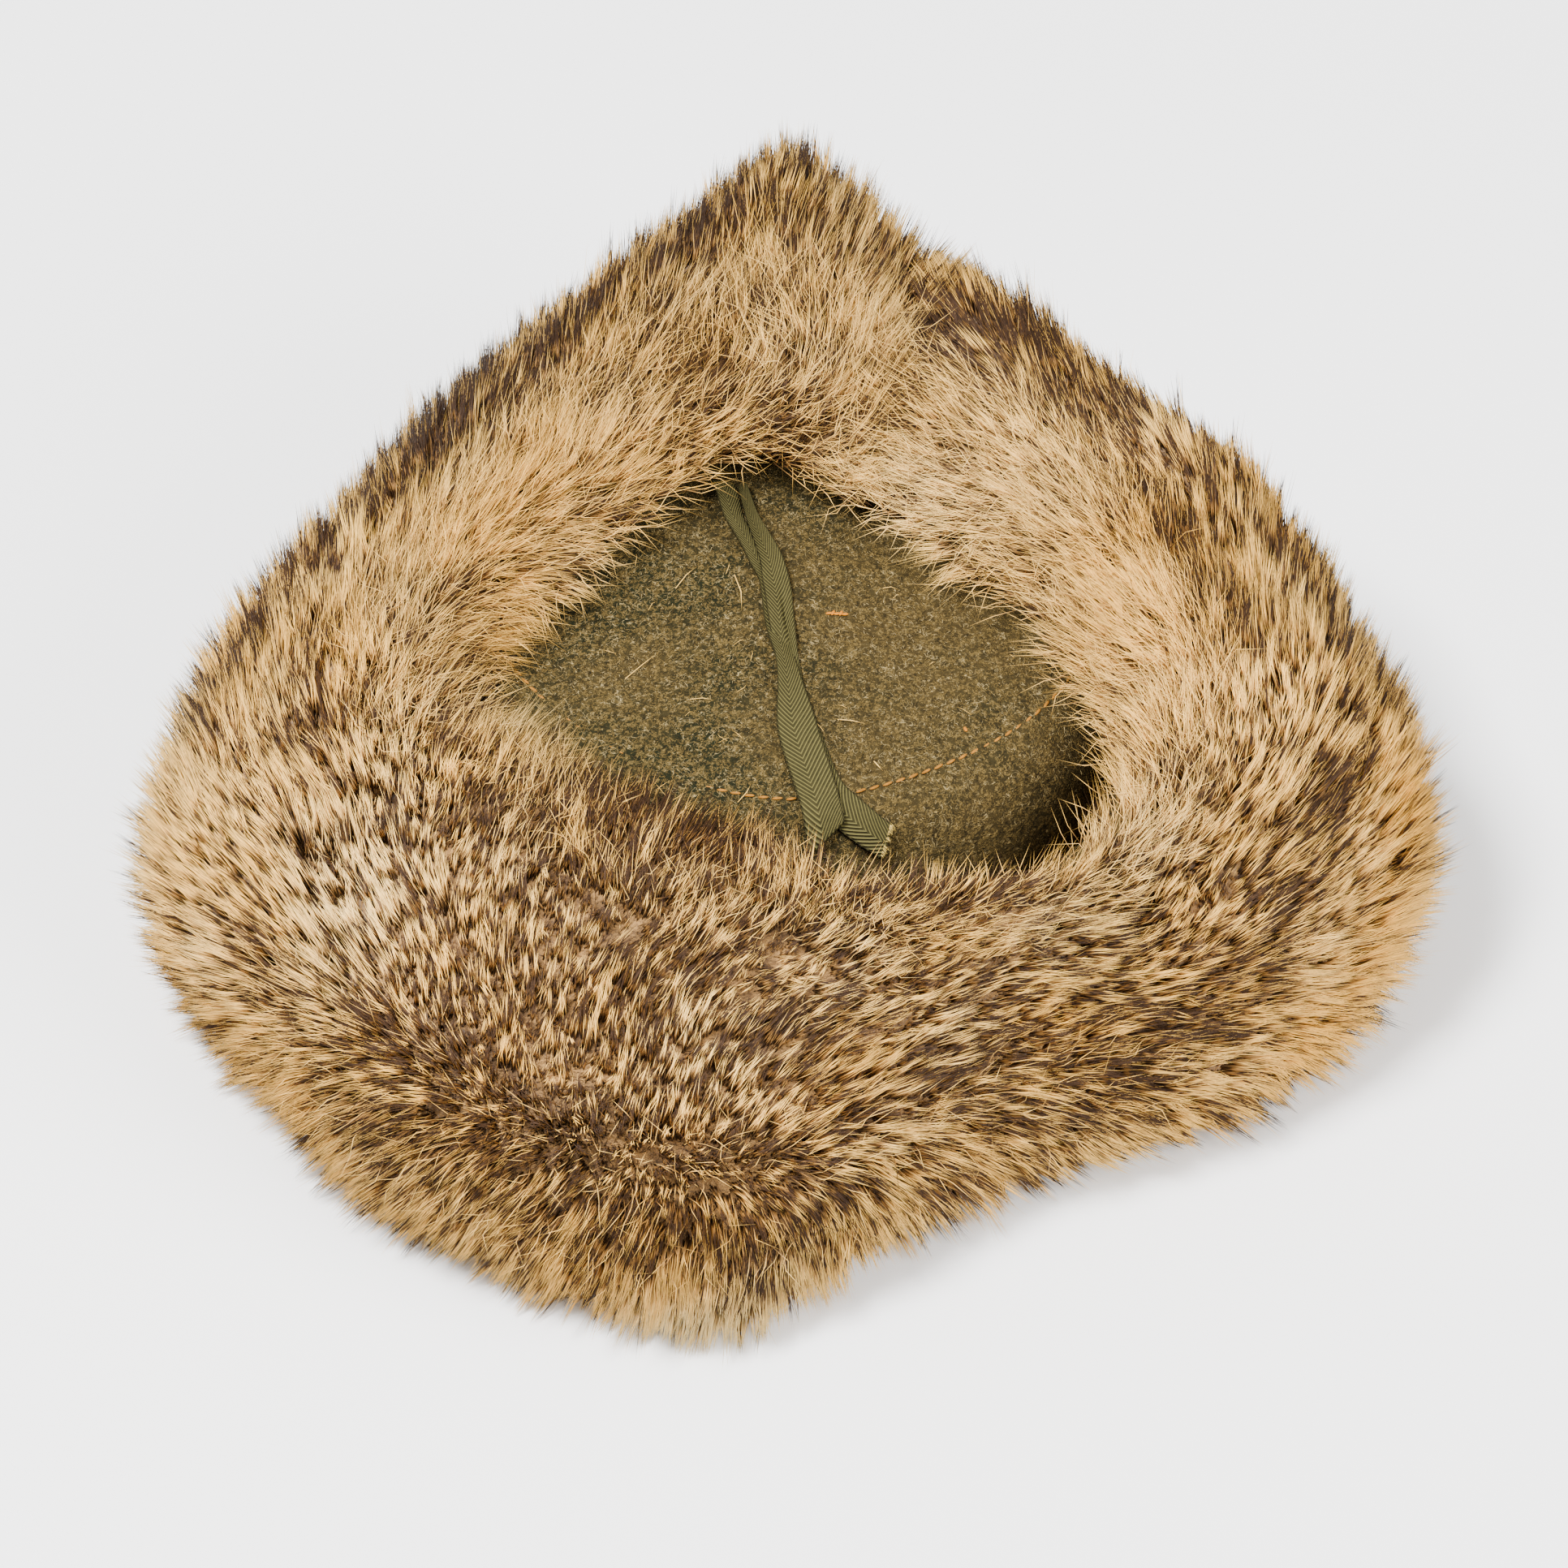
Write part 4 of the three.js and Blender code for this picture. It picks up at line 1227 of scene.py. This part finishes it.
def hair_ways(rng, flap, bearing, along, lift):
    """Where hairs start on the outline and which way they run, with their tones."""
    point, normal, up, around = fur().place(bearing, along)
    lie = combed(flap, bearing, along)
    scale, seed, strength = SWIRL["broad"]
    swirl = soft_noise(point, scale, seed) * strength
    swirl = swirl + soft_noise(point, *SWIRL["fine"]) * np.interp(along, *SWIRL_FINE)
    swirl = CALM.get(flap, 1.0) * (swirl + rng.normal(0, SWIRL["chance"], len(bearing)))
    lie = lie - (lie * normal).sum(1, keepdims=True) * normal
    turned = np.cross(normal, lie)
    lie = lie * np.cos(swirl)[:, None] + turned * np.sin(swirl)[:, None]
    steep = 1 + STEEP["chance"] * rng.normal(size=len(bearing))
    steep = lift * (steep + STEEP["strength"] * soft_noise(point, STEEP["scale"], STEEP["seed"]))
    way = unit(lie * np.cos(steep)[:, None] + normal * np.sin(steep)[:, None])
    tones = pelt_tones(bearing, along)
    blotch = np.stack([soft_noise(point, *noise) for noise in BLOTCHES], 1)
    dark = BLOTCH_DARK.get(flap, BLOTCH_SHARES["dark"])
    tones = tones + blotch * np.array([dark, BLOTCH_SHARES["gold"], BLOTCH_SHARES["grey"]])
    tones[:, 0] += DAPPLE["strength"] * soft_noise(point, DAPPLE["scale"], DAPPLE["seed"])
    tones = np.clip(tones, 0, 1)
    return point, normal, up, around, way, tones


# The length of a lock: its chance, a slow noise, what it loses out from its tuft's middle, and how it
# changes from foot to edge.
LOCK_LENGTH = {"chance": 0.14, "noise": 0.10, "scale": 30, "seed": 31}
TUFT = {"spacing": 1.8, "longest": 1.22, "loss": 0.46, "reach": 1.2, "pull": 0.6}
TUFT_PULL = {"front_flap": 0.35}
LENGTH_ALONG = ((0, 0.15, 0.75, 0.9, 1.0), (0.85, 1.0, 1.0, 1.15, 1.0))
ROOT_SINK = 0.5

# The hairs in a lock and those over it: least and most of the length, how much of its root's way aside
# a tip keeps, how far it strays, its place and width beside the lock's, and what it adds of dark.
UNDER = {
    "reach": (0.8, 1.0), "gather": (0.0, 0.25), "stray": 0.04,
    "wide": 1.0, "thick": 1.35, "dark": 0.16,
}
OVER = {"reach": (0.85, 1.08), "gather": (0.3, 1.0), "wide": 1.3, "thick": 0.78, "dark": -0.08}
OVER_RISE = 0.05
CREST_OVER = {"beyond": 0.16, "stray": 0.15}
FACE_OVER = {"beyond": 0.0, "stray": 0.08, "hairs": 2}
WIDTHS = (0.75, 1.2)
LOCK_CHANCE = 0.76
LEAST_HEIGHT = {"tip": 0.4, "root": 0.8, "guard": 0.5}


class FURCAP_OT_hairs(Operator):
    """Adds the short hairs of each flap in pointed locks"""

    bl_idname = "furcap.hairs"
    bl_label = "Hairs"

    def execute(self, context):
        settings = context.scene.fur_cap_fur
        material = fur_material(settings)
        surface = fur()
        total = sum(surface.area(flap, *HAIRY) for flap in FLAPS)
        for number, flap in enumerate(FLAPS):
            for zone, (name, low, high) in enumerate(ZONES):
                share = surface.area(flap, low, high) / total
                locks = int(settings.hairs * share / settings.per_lock)
                rng = np.random.default_rng(100 + 10 * number + zone)
                mesh = self.locks(rng, settings, flap, name, low, high, locks)
                new_object(mesh.name, mesh, [material], "fur")
        return {"FINISHED"}

    def tufts(self, rng, settings, flap, low, high, point):
        """How far each lock stands from the middle of its tuft, and the way there."""
        spacing = TUFT["spacing"] * settings.tuft / MM
        count = int(fur().area(flap, low, high) / spacing**2)
        middles = fur().place(*fur().scatter(rng, flap, low, high, count))[0]
        tree = KDTree(count)
        for index, middle in enumerate(middles):
            tree.insert(middle, index)
        tree.balance()
        nearest = np.array([tree.find(place)[1] for place in point])
        pull = middles[nearest] - point
        return np.linalg.norm(pull, axis=1), pull

    def locks(self, rng, settings, flap, zone, low, high, locks):
        """The joined hairs of one zone of a flap."""
        bearing, along = fur().scatter(rng, flap, low, high, locks)
        along = back_from_edge(flap, bearing, along)
        each = settings.per_lock
        point, normal, up, around, way, tones = hair_ways(rng, flap, bearing, along, settings.lift)
        length = 1 + LOCK_LENGTH["chance"] * rng.normal(size=locks)
        slow = soft_noise(point, LOCK_LENGTH["scale"], LOCK_LENGTH["seed"])
        length = settings.length / MM * (length + LOCK_LENGTH["noise"] * slow)
        gap, pull = self.tufts(rng, settings, flap, low, high, point)
        apart = np.minimum(gap / (settings.tuft / MM), TUFT["reach"])
        length *= TUFT["longest"] - TUFT["loss"] * apart**2
        length *= np.interp(along, *LENGTH_ALONG)
        if flap == "front_flap":
            near_edge = np.clip((along - EDGE_CUT_FROM["start"]) / EDGE_CUT_FROM["reach"], 0, 1)
            length *= 1 - EDGE_CUT_FROM["most"] * near_edge * np.interp(bearing, *EDGE_CUT)
        start = point - normal * (settings.depth / MM + ROOT_SINK)
        way = unit(way + TUFT_PULL.get(flap, TUFT["pull"]) * pull / length[:, None])

        def spread(values):
            """A lock's values for each of its hairs."""
            return np.repeat(values, each, axis=0)

        count = locks * each
        loose = CREST_OVER if zone == "crest" else FACE_OVER
        over = np.tile(np.arange(each) >= each - loose.get("hairs", settings.over), locks)
        radius = settings.lock / MM * np.sqrt(rng.random(count))
        radius = radius * np.where(over, OVER["wide"], UNDER["wide"])
        turn = rng.uniform(0, 2 * math.pi, count)
        sideways = spread(around) * (radius * np.cos(turn))[:, None]
        aside = sideways + spread(up) * (radius * np.sin(turn))[:, None]
        far = rng.uniform(*OVER["reach"], count) + loose["beyond"]
        reach = spread(length) * np.where(over, far, rng.uniform(*UNDER["reach"], count))
        roots = spread(start) + aside
        gather = [rng.uniform(*kind["gather"], count) for kind in (OVER, UNDER)]
        gather = np.where(over, *gather)
        stray = np.where(over, loose["stray"], UNDER["stray"])[:, None]
        strayed = rng.normal(0, 1.0, (count, 3)) * stray
        rise = np.where(over, OVER_RISE, 0.0)[:, None]
        ways = unit(spread(way) + strayed + spread(normal) * rise)
        tips = spread(start) + ways * reach[:, None] + aside * gather[:, None]
        tips[:, 2] = np.maximum(tips[:, 2], LEAST_HEIGHT["tip"])
        roots[:, 2] = np.maximum(roots[:, 2], LEAST_HEIGHT["root"])
        widths = settings.width * rng.uniform(*WIDTHS, count)
        widths = widths * np.where(over, OVER["thick"], UNDER["thick"])
        chance = spread(rng.random(locks)) * LOCK_CHANCE + rng.random(count) * (1 - LOCK_CHANCE)
        tones = spread(tones)
        tones[:, 0] = np.clip(tones[:, 0] + np.where(over, OVER["dark"], UNDER["dark"]), 0, 1)
        tones = np.concatenate([tones, np.clip(chance, 0, 1)[:, None]], axis=1)
        return hair_mesh(f"{flap}_{zone}_hairs", in_row(roots), None, in_row(tips), widths, tones)


# The longer hairs: the zone near the free edge where they stand, the front flap's zone at its crease
# and the share of its hairs there, and their lie, lengths and bends in millimetres.
GUARD_ZONE = (0.76, 0.99)
GUARD_CREASE = (0.18, 0.42)
CREASE_SHARE = 0.45
GUARD = {
    "lift": 0.8, "stray": 0.34, "length": (0.9, 1.5), "front_length": 0.8, "sink": -1.5,
    "sweep": 1.3, "droop": 2.5, "width": (0.6, 0.85),
}
GUARD_TONES = {"dark": 0.1, "grey": 0.25, "least_chance": 0.11}


class FURCAP_OT_guards(Operator):
    """Adds longer bent hairs over the short ones"""

    bl_idname = "furcap.guards"
    bl_label = "Guard Hairs"

    def execute(self, context):
        settings = context.scene.fur_cap_fur
        material = bpy.data.materials["rabbit_fur"]
        surface = fur()
        total = sum(surface.area(flap, *GUARD_ZONE) for flap in FLAPS)
        for number, flap in enumerate(FLAPS):
            rng = np.random.default_rng(300 + number)
            low, high = GUARD_ZONE
            count = int(settings.guards * surface.area(flap, low, high) / total)
            bearing, along = surface.scatter(rng, flap, low, high, count)
            if flap == "front_flap":
                crease = rng.random(count) < CREASE_SHARE
                along = np.where(crease, rng.uniform(*GUARD_CREASE, count), along)
                along = back_from_edge(flap, bearing, along)
            lift = settings.lift * GUARD["lift"]
            point, normal, _, _, way, tones = hair_ways(rng, flap, bearing, along, lift)
            way = unit(way + rng.normal(0, GUARD["stray"], (count, 3)))
            length = settings.length / MM * rng.uniform(*GUARD["length"], count)[:, None]
            if flap == "front_flap":
                length *= np.where(crease, 1.0, GUARD["front_length"])[:, None]
            else:
                tones[:, 0] = GUARD_TONES["dark"]
            roots = point - normal * (settings.depth / MM + GUARD["sink"])
            sweep = unit(np.cross(way, normal)) * rng.normal(0, GUARD["sweep"], (count, 1))
            middles = roots + way * length * 0.5 + sweep
            droop = normal * rng.uniform(0, GUARD["droop"], (count, 1))
            tips = roots + way * length - droop - sweep
            for places in (roots, middles, tips):
                places[:, 2] = np.maximum(places[:, 2], LEAST_HEIGHT["guard"])
            tones[:, 2] = np.clip(tones[:, 2] + GUARD_TONES["grey"], 0, 1)
            least = GUARD_TONES["least_chance"]
            chance = least + (1 - least) * rng.random((count, 1))
            tones = np.concatenate([tones, chance], axis=1)
            widths = settings.width * rng.uniform(*GUARD["width"], count)
            places = (in_row(spots) for spots in (roots, middles, tips))
            mesh = hair_mesh(flap + "_guard_hairs", *places, widths, tones)
            new_object(mesh.name, mesh, [material], "fur")
        return {"FINISHED"}


# A tape's grid, how far each way it feels for the crown, how far its edges bow down, and where across
# it its furrow runs and how wide, in parts of its width. Lengths in millimetres.
TAPE = {
    "steps": 160, "strips": 16, "probe": 3, "smoothings": 3, "bow": 0.4,
    "furrow_at": 0.16, "furrow_wide": 0.09, "full_width": 10,
}

# How steeply each tape is cut at its end, and over what length.
TAPE_SLANT = {"left_tie_tape": -0.75, "right_tie_tape": -0.3}
SLANT_REACH = 10

# The loose threads at the end of the upper tape, in millimetres, and the tones of a plain thread.
FRAY = {
    "count": 46, "splay": 0.35, "length": (0.8, 2.6), "sink": 0.6, "bend_at": 0.55, "bend": 0.5,
    "width": 0.28,
}
PLAIN_TONES = (0.0, 0.0, 0.0, 0.5)


def tape_places(rows, steps):
    """A draped tape's middle, its directions across and outward, its widths and its furrows."""
    rows = np.array(rows, dtype=float)
    at = np.linspace(0, len(rows) - 1, steps)
    knots = np.arange(len(rows))
    slopes = np.gradient(rows, axis=0)
    i = np.minimum(at.astype(int), len(rows) - 2)
    t = (at - knots[i])[:, None]
    fine = (
        (2 * t**3 - 3 * t**2 + 1) * rows[i] + (t**3 - 2 * t**2 + t) * slopes[i]
        + (3 * t**2 - 2 * t**3) * rows[i + 1] + (t**3 - t**2) * slopes[i + 1]
    )
    x, y, lift, roll, width, furrow = fine.T
    flat = np.stack([np.gradient(x), np.gradient(y)], 1)
    side = unit(np.stack([-flat[:, 1], flat[:, 0]], 1)) * TAPE["probe"]
    left, right = (
        np.stack([a, b, crown_height(a, b)], 1)
        for a, b in ((x - side[:, 0], y - side[:, 1]), (x + side[:, 0], y + side[:, 1]))
    )
    middle = (left + right) / 2
    for _ in range(TAPE["smoothings"]):
        middle[1:-1] = (middle[:-2] + middle[2:] + 2 * middle[1:-1]) / 4
    along = unit(np.gradient(middle, axis=0))
    across = unit(right - left)
    across = unit(across - (across * along).sum(1, keepdims=True) * along)
    out = np.cross(across, along)
    out *= np.sign(out[:, 2:])
    turn = np.radians(roll)[:, None]
    rolled = across * np.cos(turn) + out * np.sin(turn)
    raised = out * np.cos(turn) - across * np.sin(turn)
    middle = middle + out * lift[:, None]
    return middle, rolled, raised, width, furrow


class FURCAP_OT_tapes(Operator):
    """Adds the two twill tapes that lie over the crown"""

    bl_idname = "furcap.tapes"
    bl_label = "Tapes"

    def execute(self, context):
        cloth = context.scene.fur_cap_cloth
        material = tape_material(cloth)
        for name, rows in TAPES.items():
            middle, across, out, width, furrow = tape_places(rows, TAPE["steps"])
            parts = np.linspace(-0.5, 0.5, TAPE["strips"] + 1)
            sheet = middle[:, None] + across[:, None] * (parts[None, :] * width[:, None])[..., None]
            dip = np.exp(-(((parts - TAPE["furrow_at"]) / TAPE["furrow_wide"]) ** 2))
            bow = TAPE["bow"] * (2 * parts) ** 2 + furrow[:, None] * dip
            sheet = sheet - out[:, None] * bow[..., None]
            steps = np.linalg.norm(np.diff(middle, axis=0), axis=1)
            length = np.concatenate([[0], np.cumsum(steps)])
            to_end = np.clip(1 - (length[-1] - length) / SLANT_REACH, 0, 1)
            slant = TAPE_SLANT[name] * to_end[:, None] * parts[None, :] * width[:, None]
            sheet = sheet + np.gradient(middle, length, axis=0)[:, None] * slant[..., None]
            mesh = self.strip(name, in_row(sheet), parts, length * MM, cloth.tape_thickness)
            piece = new_object(name + "_woven", mesh, [material], "tape", name)
            if name == "right_tie_tape":
                self.fray(cloth, sheet)
        return {"FINISHED"}

    def fray(self, cloth, sheet):
        """Loose threads along the end of a tape's sheet."""
        rng = np.random.default_rng(41)
        count = FRAY["count"]
        across = rng.random(count) * (sheet.shape[1] - 1)
        i = np.minimum(across.astype(int), sheet.shape[1] - 2)
        share = (across - i)[:, None]
        roots = sheet[-1, i] * (1 - share) + sheet[-1, i + 1] * share
        ways = unit(sheet[-1] - sheet[-4])[i] + rng.normal(0, FRAY["splay"], (count, 3))
        ways = unit(ways)
        reach = rng.uniform(*FRAY["length"], (count, 1))
        roots = roots - ways * FRAY["sink"]
        middles = roots + ways * reach * FRAY["bend_at"]
        tips = roots + unit(ways + rng.normal(0, FRAY["bend"], (count, 3))) * reach
        places = (in_row(spots) for spots in (roots, middles, tips))
        widths = np.full(count, FRAY["width"] * MM)
        mesh = hair_mesh("frayed_threads", *places, widths, np.tile(PLAIN_TONES, (count, 1)))
        material = plain_material("frayed_thread", tuple(cloth.fray), 0.8, 0.3)
        new_object(mesh.name, mesh, [material], "thread")

    def strip(self, name, sheet, parts, length, thickness):
        """A solid tape from its sheet, with the place across and along it on its map."""
        rows, columns = sheet.shape[:2]
        made = bmesh.new()
        bmesh.ops.create_grid(made, x_segments=columns - 1, y_segments=rows - 1, size=1.0)
        weave = made.loops.layers.uv.new("Weave")
        for index, vert in enumerate(made.verts):
            row, column = divmod(index, columns)
            vert.co = sheet[row][column]
            for loop in vert.link_loops:
                across = (parts[column] + 0.5) * TAPE["full_width"] * MM
                loop[weave].uv = (across, length[row])
        bmesh.ops.solidify(made, geom=made.faces[:], thickness=thickness)
        bmesh.ops.recalc_face_normals(made, faces=made.faces[:])
        return finished_mesh(name + "_woven", made)


# Loose hairs on the crown: the ends of those in the photo, in millimetres, and how many more lie by
# chance, where, how long, how bent, and how wide the first ones and the others are. They lift from the
# wool at root, middle and tip.
STRAYS = (
    ((-39.9, -47.0), (-31.3, -38.7)), ((-24.3, -54.7), (-18.1, -55.8)), ((10.9, -61.7), (17.9, -62.8)),
    ((-12.8, -84.7), (-9.4, -79.3)), ((19.5, -73.0), (21.8, -76.0)), ((22.0, -20.0), (26.0, -20.4)),
    ((-13.8, -17.0), (-12.0, -29.0)), ((-28.0, -20.0), (-22.5, -13.5)),
)
MORE_STRAYS = {
    "count": 22, "x": (-52, 56), "y": (-74, 2), "inside": 0.94, "length": (2.0, 4.5), "bend": 0.07,
}
STRAY_WIDTHS = (0.34, 0.17)
STRAY_LIFTS = (0.1, 0.7, 0.3)
STRAY_TONES = (0.0, 0.0, 0.3, 0.5)
STRAY_CHANCE = (0.2, 0.9)


def on_crown(flat, lift):
    """Places over the crown, in metres, from places on a plan and their height above it."""
    return in_row(np.column_stack([flat, crown_height(flat[:, 0], flat[:, 1]) + lift]))


class FURCAP_OT_strays(Operator):
    """Adds loose pale hairs that lie on the crown"""

    bl_idname = "furcap.strays"
    bl_label = "Stray Hairs"

    def execute(self, context):
        rng = np.random.default_rng(77)
        ends = np.array(STRAYS)
        count = MORE_STRAYS["count"]
        more = np.column_stack([rng.uniform(*MORE_STRAYS[axis], count) for axis in ("x", "y")])
        more = more[outline_measure(SEAM, more[:, 0], more[:, 1]) < MORE_STRAYS["inside"]]
        turn = rng.uniform(0, math.pi, len(more))
        reach = rng.uniform(*MORE_STRAYS["length"], len(more))
        other = more + np.stack([np.cos(turn), np.sin(turn)], 1) * reach[:, None]
        starts, stops = np.concatenate([ends[:, 0], more]), np.concatenate([ends[:, 1], other])
        bend = rng.normal(0, MORE_STRAYS["bend"], (len(starts), 1))
        middles = (starts + stops) / 2 + bend * (stops - starts)[:, ::-1] * (1, -1)
        lines = zip((starts, middles, stops), STRAY_LIFTS)
        places = [on_crown(flat, lift) for flat, lift in lines]
        tones = np.tile(STRAY_TONES, (len(starts), 1))
        tones[:, 3] = rng.uniform(*STRAY_CHANCE, len(starts))
        widths = np.where(np.arange(len(starts)) < len(ends), *STRAY_WIDTHS) * MM
        mesh = hair_mesh("stray_hairs", *places, widths, tones)
        cream = tuple(context.scene.fur_cap_fur.cream)
        new_object("stray_hairs", mesh, [plain_material("pale_hair", cream, 0.5, 0.15)], "fur")
        return {"FINISHED"}


# The fibres that stand out of the felt: the field they are scattered over, how many are tried for each
# that stays, how far out on the rim's outline they reach, and their lengths, bends and widths. Heights
# of root, middle and tip are least and most.
FUZZ = {
    "x": (-74, 74), "y": (-94, 24), "tries": 3, "inside": 0.97, "length": (0.7, 1.9),
    "bend": (0.6, 1.5), "width": 0.13, "widths": (0.8, 1.3),
}
FUZZ_LIFTS = ((-0.1, -0.1), (0.15, 0.5), (0.0, 0.5))


class FURCAP_OT_fuzz(Operator):
    """Adds the fine curly fibres that stand out of the felt"""

    bl_idname = "furcap.fuzz"
    bl_label = "Felt Fuzz"

    def execute(self, context):
        cloth = context.scene.fur_cap_cloth
        rng = np.random.default_rng(55)
        tries = FUZZ["tries"] * cloth.fuzz
        spots = np.column_stack([rng.uniform(*FUZZ[axis], tries) for axis in ("x", "y")])
        inside = outline_measure(RIM, spots[:, 0], spots[:, 1]) < FUZZ["inside"]
        spots = spots[inside][: cloth.fuzz]
        count = len(spots)
        turn = rng.uniform(0, 2 * math.pi, (count, 1))
        reach = rng.uniform(*FUZZ["length"], (count, 1))
        bend = turn + rng.choice((-1, 1), (count, 1)) * rng.uniform(*FUZZ["bend"], (count, 1))
        middles = spots + np.hstack([np.cos(turn), np.sin(turn)]) * reach / 2
        tips = middles + np.hstack([np.cos(bend), np.sin(bend)]) * reach / 2
        places = [
            on_crown(flat, rng.uniform(*lifts, count))
            for flat, lifts in zip((spots, middles, tips), FUZZ_LIFTS)
        ]
        widths = FUZZ["width"] * MM * rng.uniform(*FUZZ["widths"], count)
        mesh = hair_mesh("felt_fuzz", *places, widths, np.tile(PLAIN_TONES, (count, 1)))
        material = plain_material("felt_fibre", tuple(cloth.pale), 0.9, 0.45)
        new_object("felt_fuzz", mesh, [material], "wool")
        return {"FINISHED"}


# Stitches: length and width in millimetres, how far they lean from the seam in radians, and how high
# they lie above the wool. The topstitch takes its length and gap from the setting. The bar tack's
# start, its steps and its turns in degrees, and the loose stitch's place and way.
TOPSTITCH = {
    "share": 0.92, "gap": 1.12, "width": 0.8, "lean": 0.16, "lift": 0.1, "outline_steps": 1440,
}
BAR_TACK = {
    "start": (9.0, -29.4), "step": (0.95, 0.25), "turn": (4, 60), "count": 5,
    "length": 1.8, "width": 0.8, "lift": 0.35,
}
KNOT = {"at": (41.4, -62.6), "way": (0.35, -0.9, 0.1), "length": 1.7, "width": 0.9, "lift": 0.3}


class FURCAP_OT_stitches(Operator):
    """Adds the topstitching round the top panel, the bar tack and a loose stitch"""

    bl_idname = "furcap.stitches"
    bl_label = "Stitches"

    def execute(self, context):
        cloth = context.scene.fur_cap_cloth
        bright = plain_material("bright_thread", tuple(cloth.tack), 0.7, 0.25)
        self.seam(cloth)
        self.tack(bright)
        x, y = KNOT["at"]
        points = np.array([(x, y, crown_height(x, y) + KNOT["lift"])])
        self.threads("seam_knot", points, np.array([KNOT["way"]]), KNOT, bright)
        return {"FINISHED"}

    def seam(self, cloth):
        """The stitches just outside the top panel's seam."""
        angles = np.linspace(0, 2 * math.pi, TOPSTITCH["outline_steps"])
        apart = np.mod(np.degrees(angles) - SEAM_BULGE["angle"] + 180, 360) - 180
        out = SEAM_BULGE["out"] * np.exp(-((apart / SEAM_BULGE["spread"]) ** 2))
        x, y = on_outline(SEAM, angles, -out)
        length = np.concatenate([[0], np.cumsum(np.hypot(np.diff(x), np.diff(y)))])
        count = round(length[-1] / (cloth.stitch / MM * TOPSTITCH["gap"]))
        places = np.linspace(0, length[-1], count, endpoint=False)
        x, y = np.interp(places, length, x), np.interp(places, length, y)
        points = np.stack([x, y, crown_height(x, y) + TOPSTITCH["lift"]], 1)
        ways = unit(np.roll(points, -1, 0) - np.roll(points, 1, 0))
        sizes = {**TOPSTITCH, "length": cloth.stitch / MM * TOPSTITCH["share"]}
        material = plain_material("orange_thread", tuple(cloth.thread), 0.7, 0.35)
        self.threads("seam_topstitch", points, ways, sizes, material)

    def tack(self, material):
        """The row of crossing stitches near the tapes."""
        points, ways = [], []
        for k in range(BAR_TACK["count"]):
            odd = k % 2
            x = BAR_TACK["start"][0] + BAR_TACK["step"][0] * k
            y = BAR_TACK["start"][1] + BAR_TACK["step"][1] * odd
            turn = math.radians(BAR_TACK["turn"][0] + BAR_TACK["turn"][1] * odd)
            points.append((x, y, crown_height(x, y) + BAR_TACK["lift"]))
            ways.append((math.cos(turn), math.sin(turn), 0))
        self.threads("bar_tack", np.array(points), np.array(ways), BAR_TACK, material)

    def threads(self, name, points, ways, sizes, material):
        """A piece of stitches, each a flattened round thread along its way."""
        width = sizes["width"] * MM
        size = Matrix.Diagonal((sizes["length"] * MM / 2, width / 2, width / 2.4, 1))
        made = bmesh.new()
        for point, way in zip(in_row(points), ways):
            turn = Vector(way).to_track_quat("X", "Z").to_matrix().to_4x4()
            turn = turn @ Matrix.Rotation(sizes.get("lean", 0.0), 4, "Z")
            place = Matrix.Translation(point) @ turn @ size
            bmesh.ops.create_uvsphere(made, u_segments=8, v_segments=6, radius=1.0, matrix=place)
        new_object(name, finished_mesh(name, made), [material], "thread")


class FURCAP_PT_panel(Panel):
    """Lists the pieces of the cap and their settings"""

    bl_idname = "FURCAP_PT_panel"
    bl_label = "Fur Cap"
    bl_space_type = "VIEW_3D"
    bl_region_type = "UI"
    bl_category = "Fur Cap"

    def draw(self, context):
        layout = self.layout
        for operator in OPERATORS:
            layout.operator(operator.bl_idname)
        for name in SETTINGS:
            group = getattr(context.scene, name)
            for key in group.__annotations__:
                layout.prop(group, key)


SETTINGS = {
    "fur_cap_fur": FurSettings,
    "fur_cap_cloth": ClothSettings,
    "fur_cap_stage": StageSettings,
}
OPERATORS = (
    FURCAP_OT_stage,
    FURCAP_OT_crown,
    FURCAP_OT_fuzz,
    FURCAP_OT_pelts,
    FURCAP_OT_hairs,
    FURCAP_OT_guards,
    FURCAP_OT_tapes,
    FURCAP_OT_stitches,
    FURCAP_OT_strays,
)
CLASSES = (*SETTINGS.values(), *OPERATORS, FURCAP_PT_panel)


def register():
    """Adds the classes and the scene's settings."""
    for cls in CLASSES:
        bpy.utils.register_class(cls)
    for name, group in SETTINGS.items():
        setattr(bpy.types.Scene, name, PointerProperty(type=group))


def unregister():
    """Takes the classes and settings away again."""
    for name in SETTINGS:
        delattr(bpy.types.Scene, name)
    for cls in reversed(CLASSES):
        bpy.utils.unregister_class(cls)


def main():
    """Builds the cap piece by piece."""
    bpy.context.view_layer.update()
    register()
    bpy.ops.furcap.stage()
    bpy.ops.furcap.crown()
    bpy.ops.furcap.fuzz()
    bpy.ops.furcap.pelts()
    bpy.ops.furcap.hairs()
    bpy.ops.furcap.guards()
    bpy.ops.furcap.tapes()
    bpy.ops.furcap.stitches()
    bpy.ops.furcap.strays()
    bpy.context.view_layer.update()


if __name__ == "__main__":
    main()
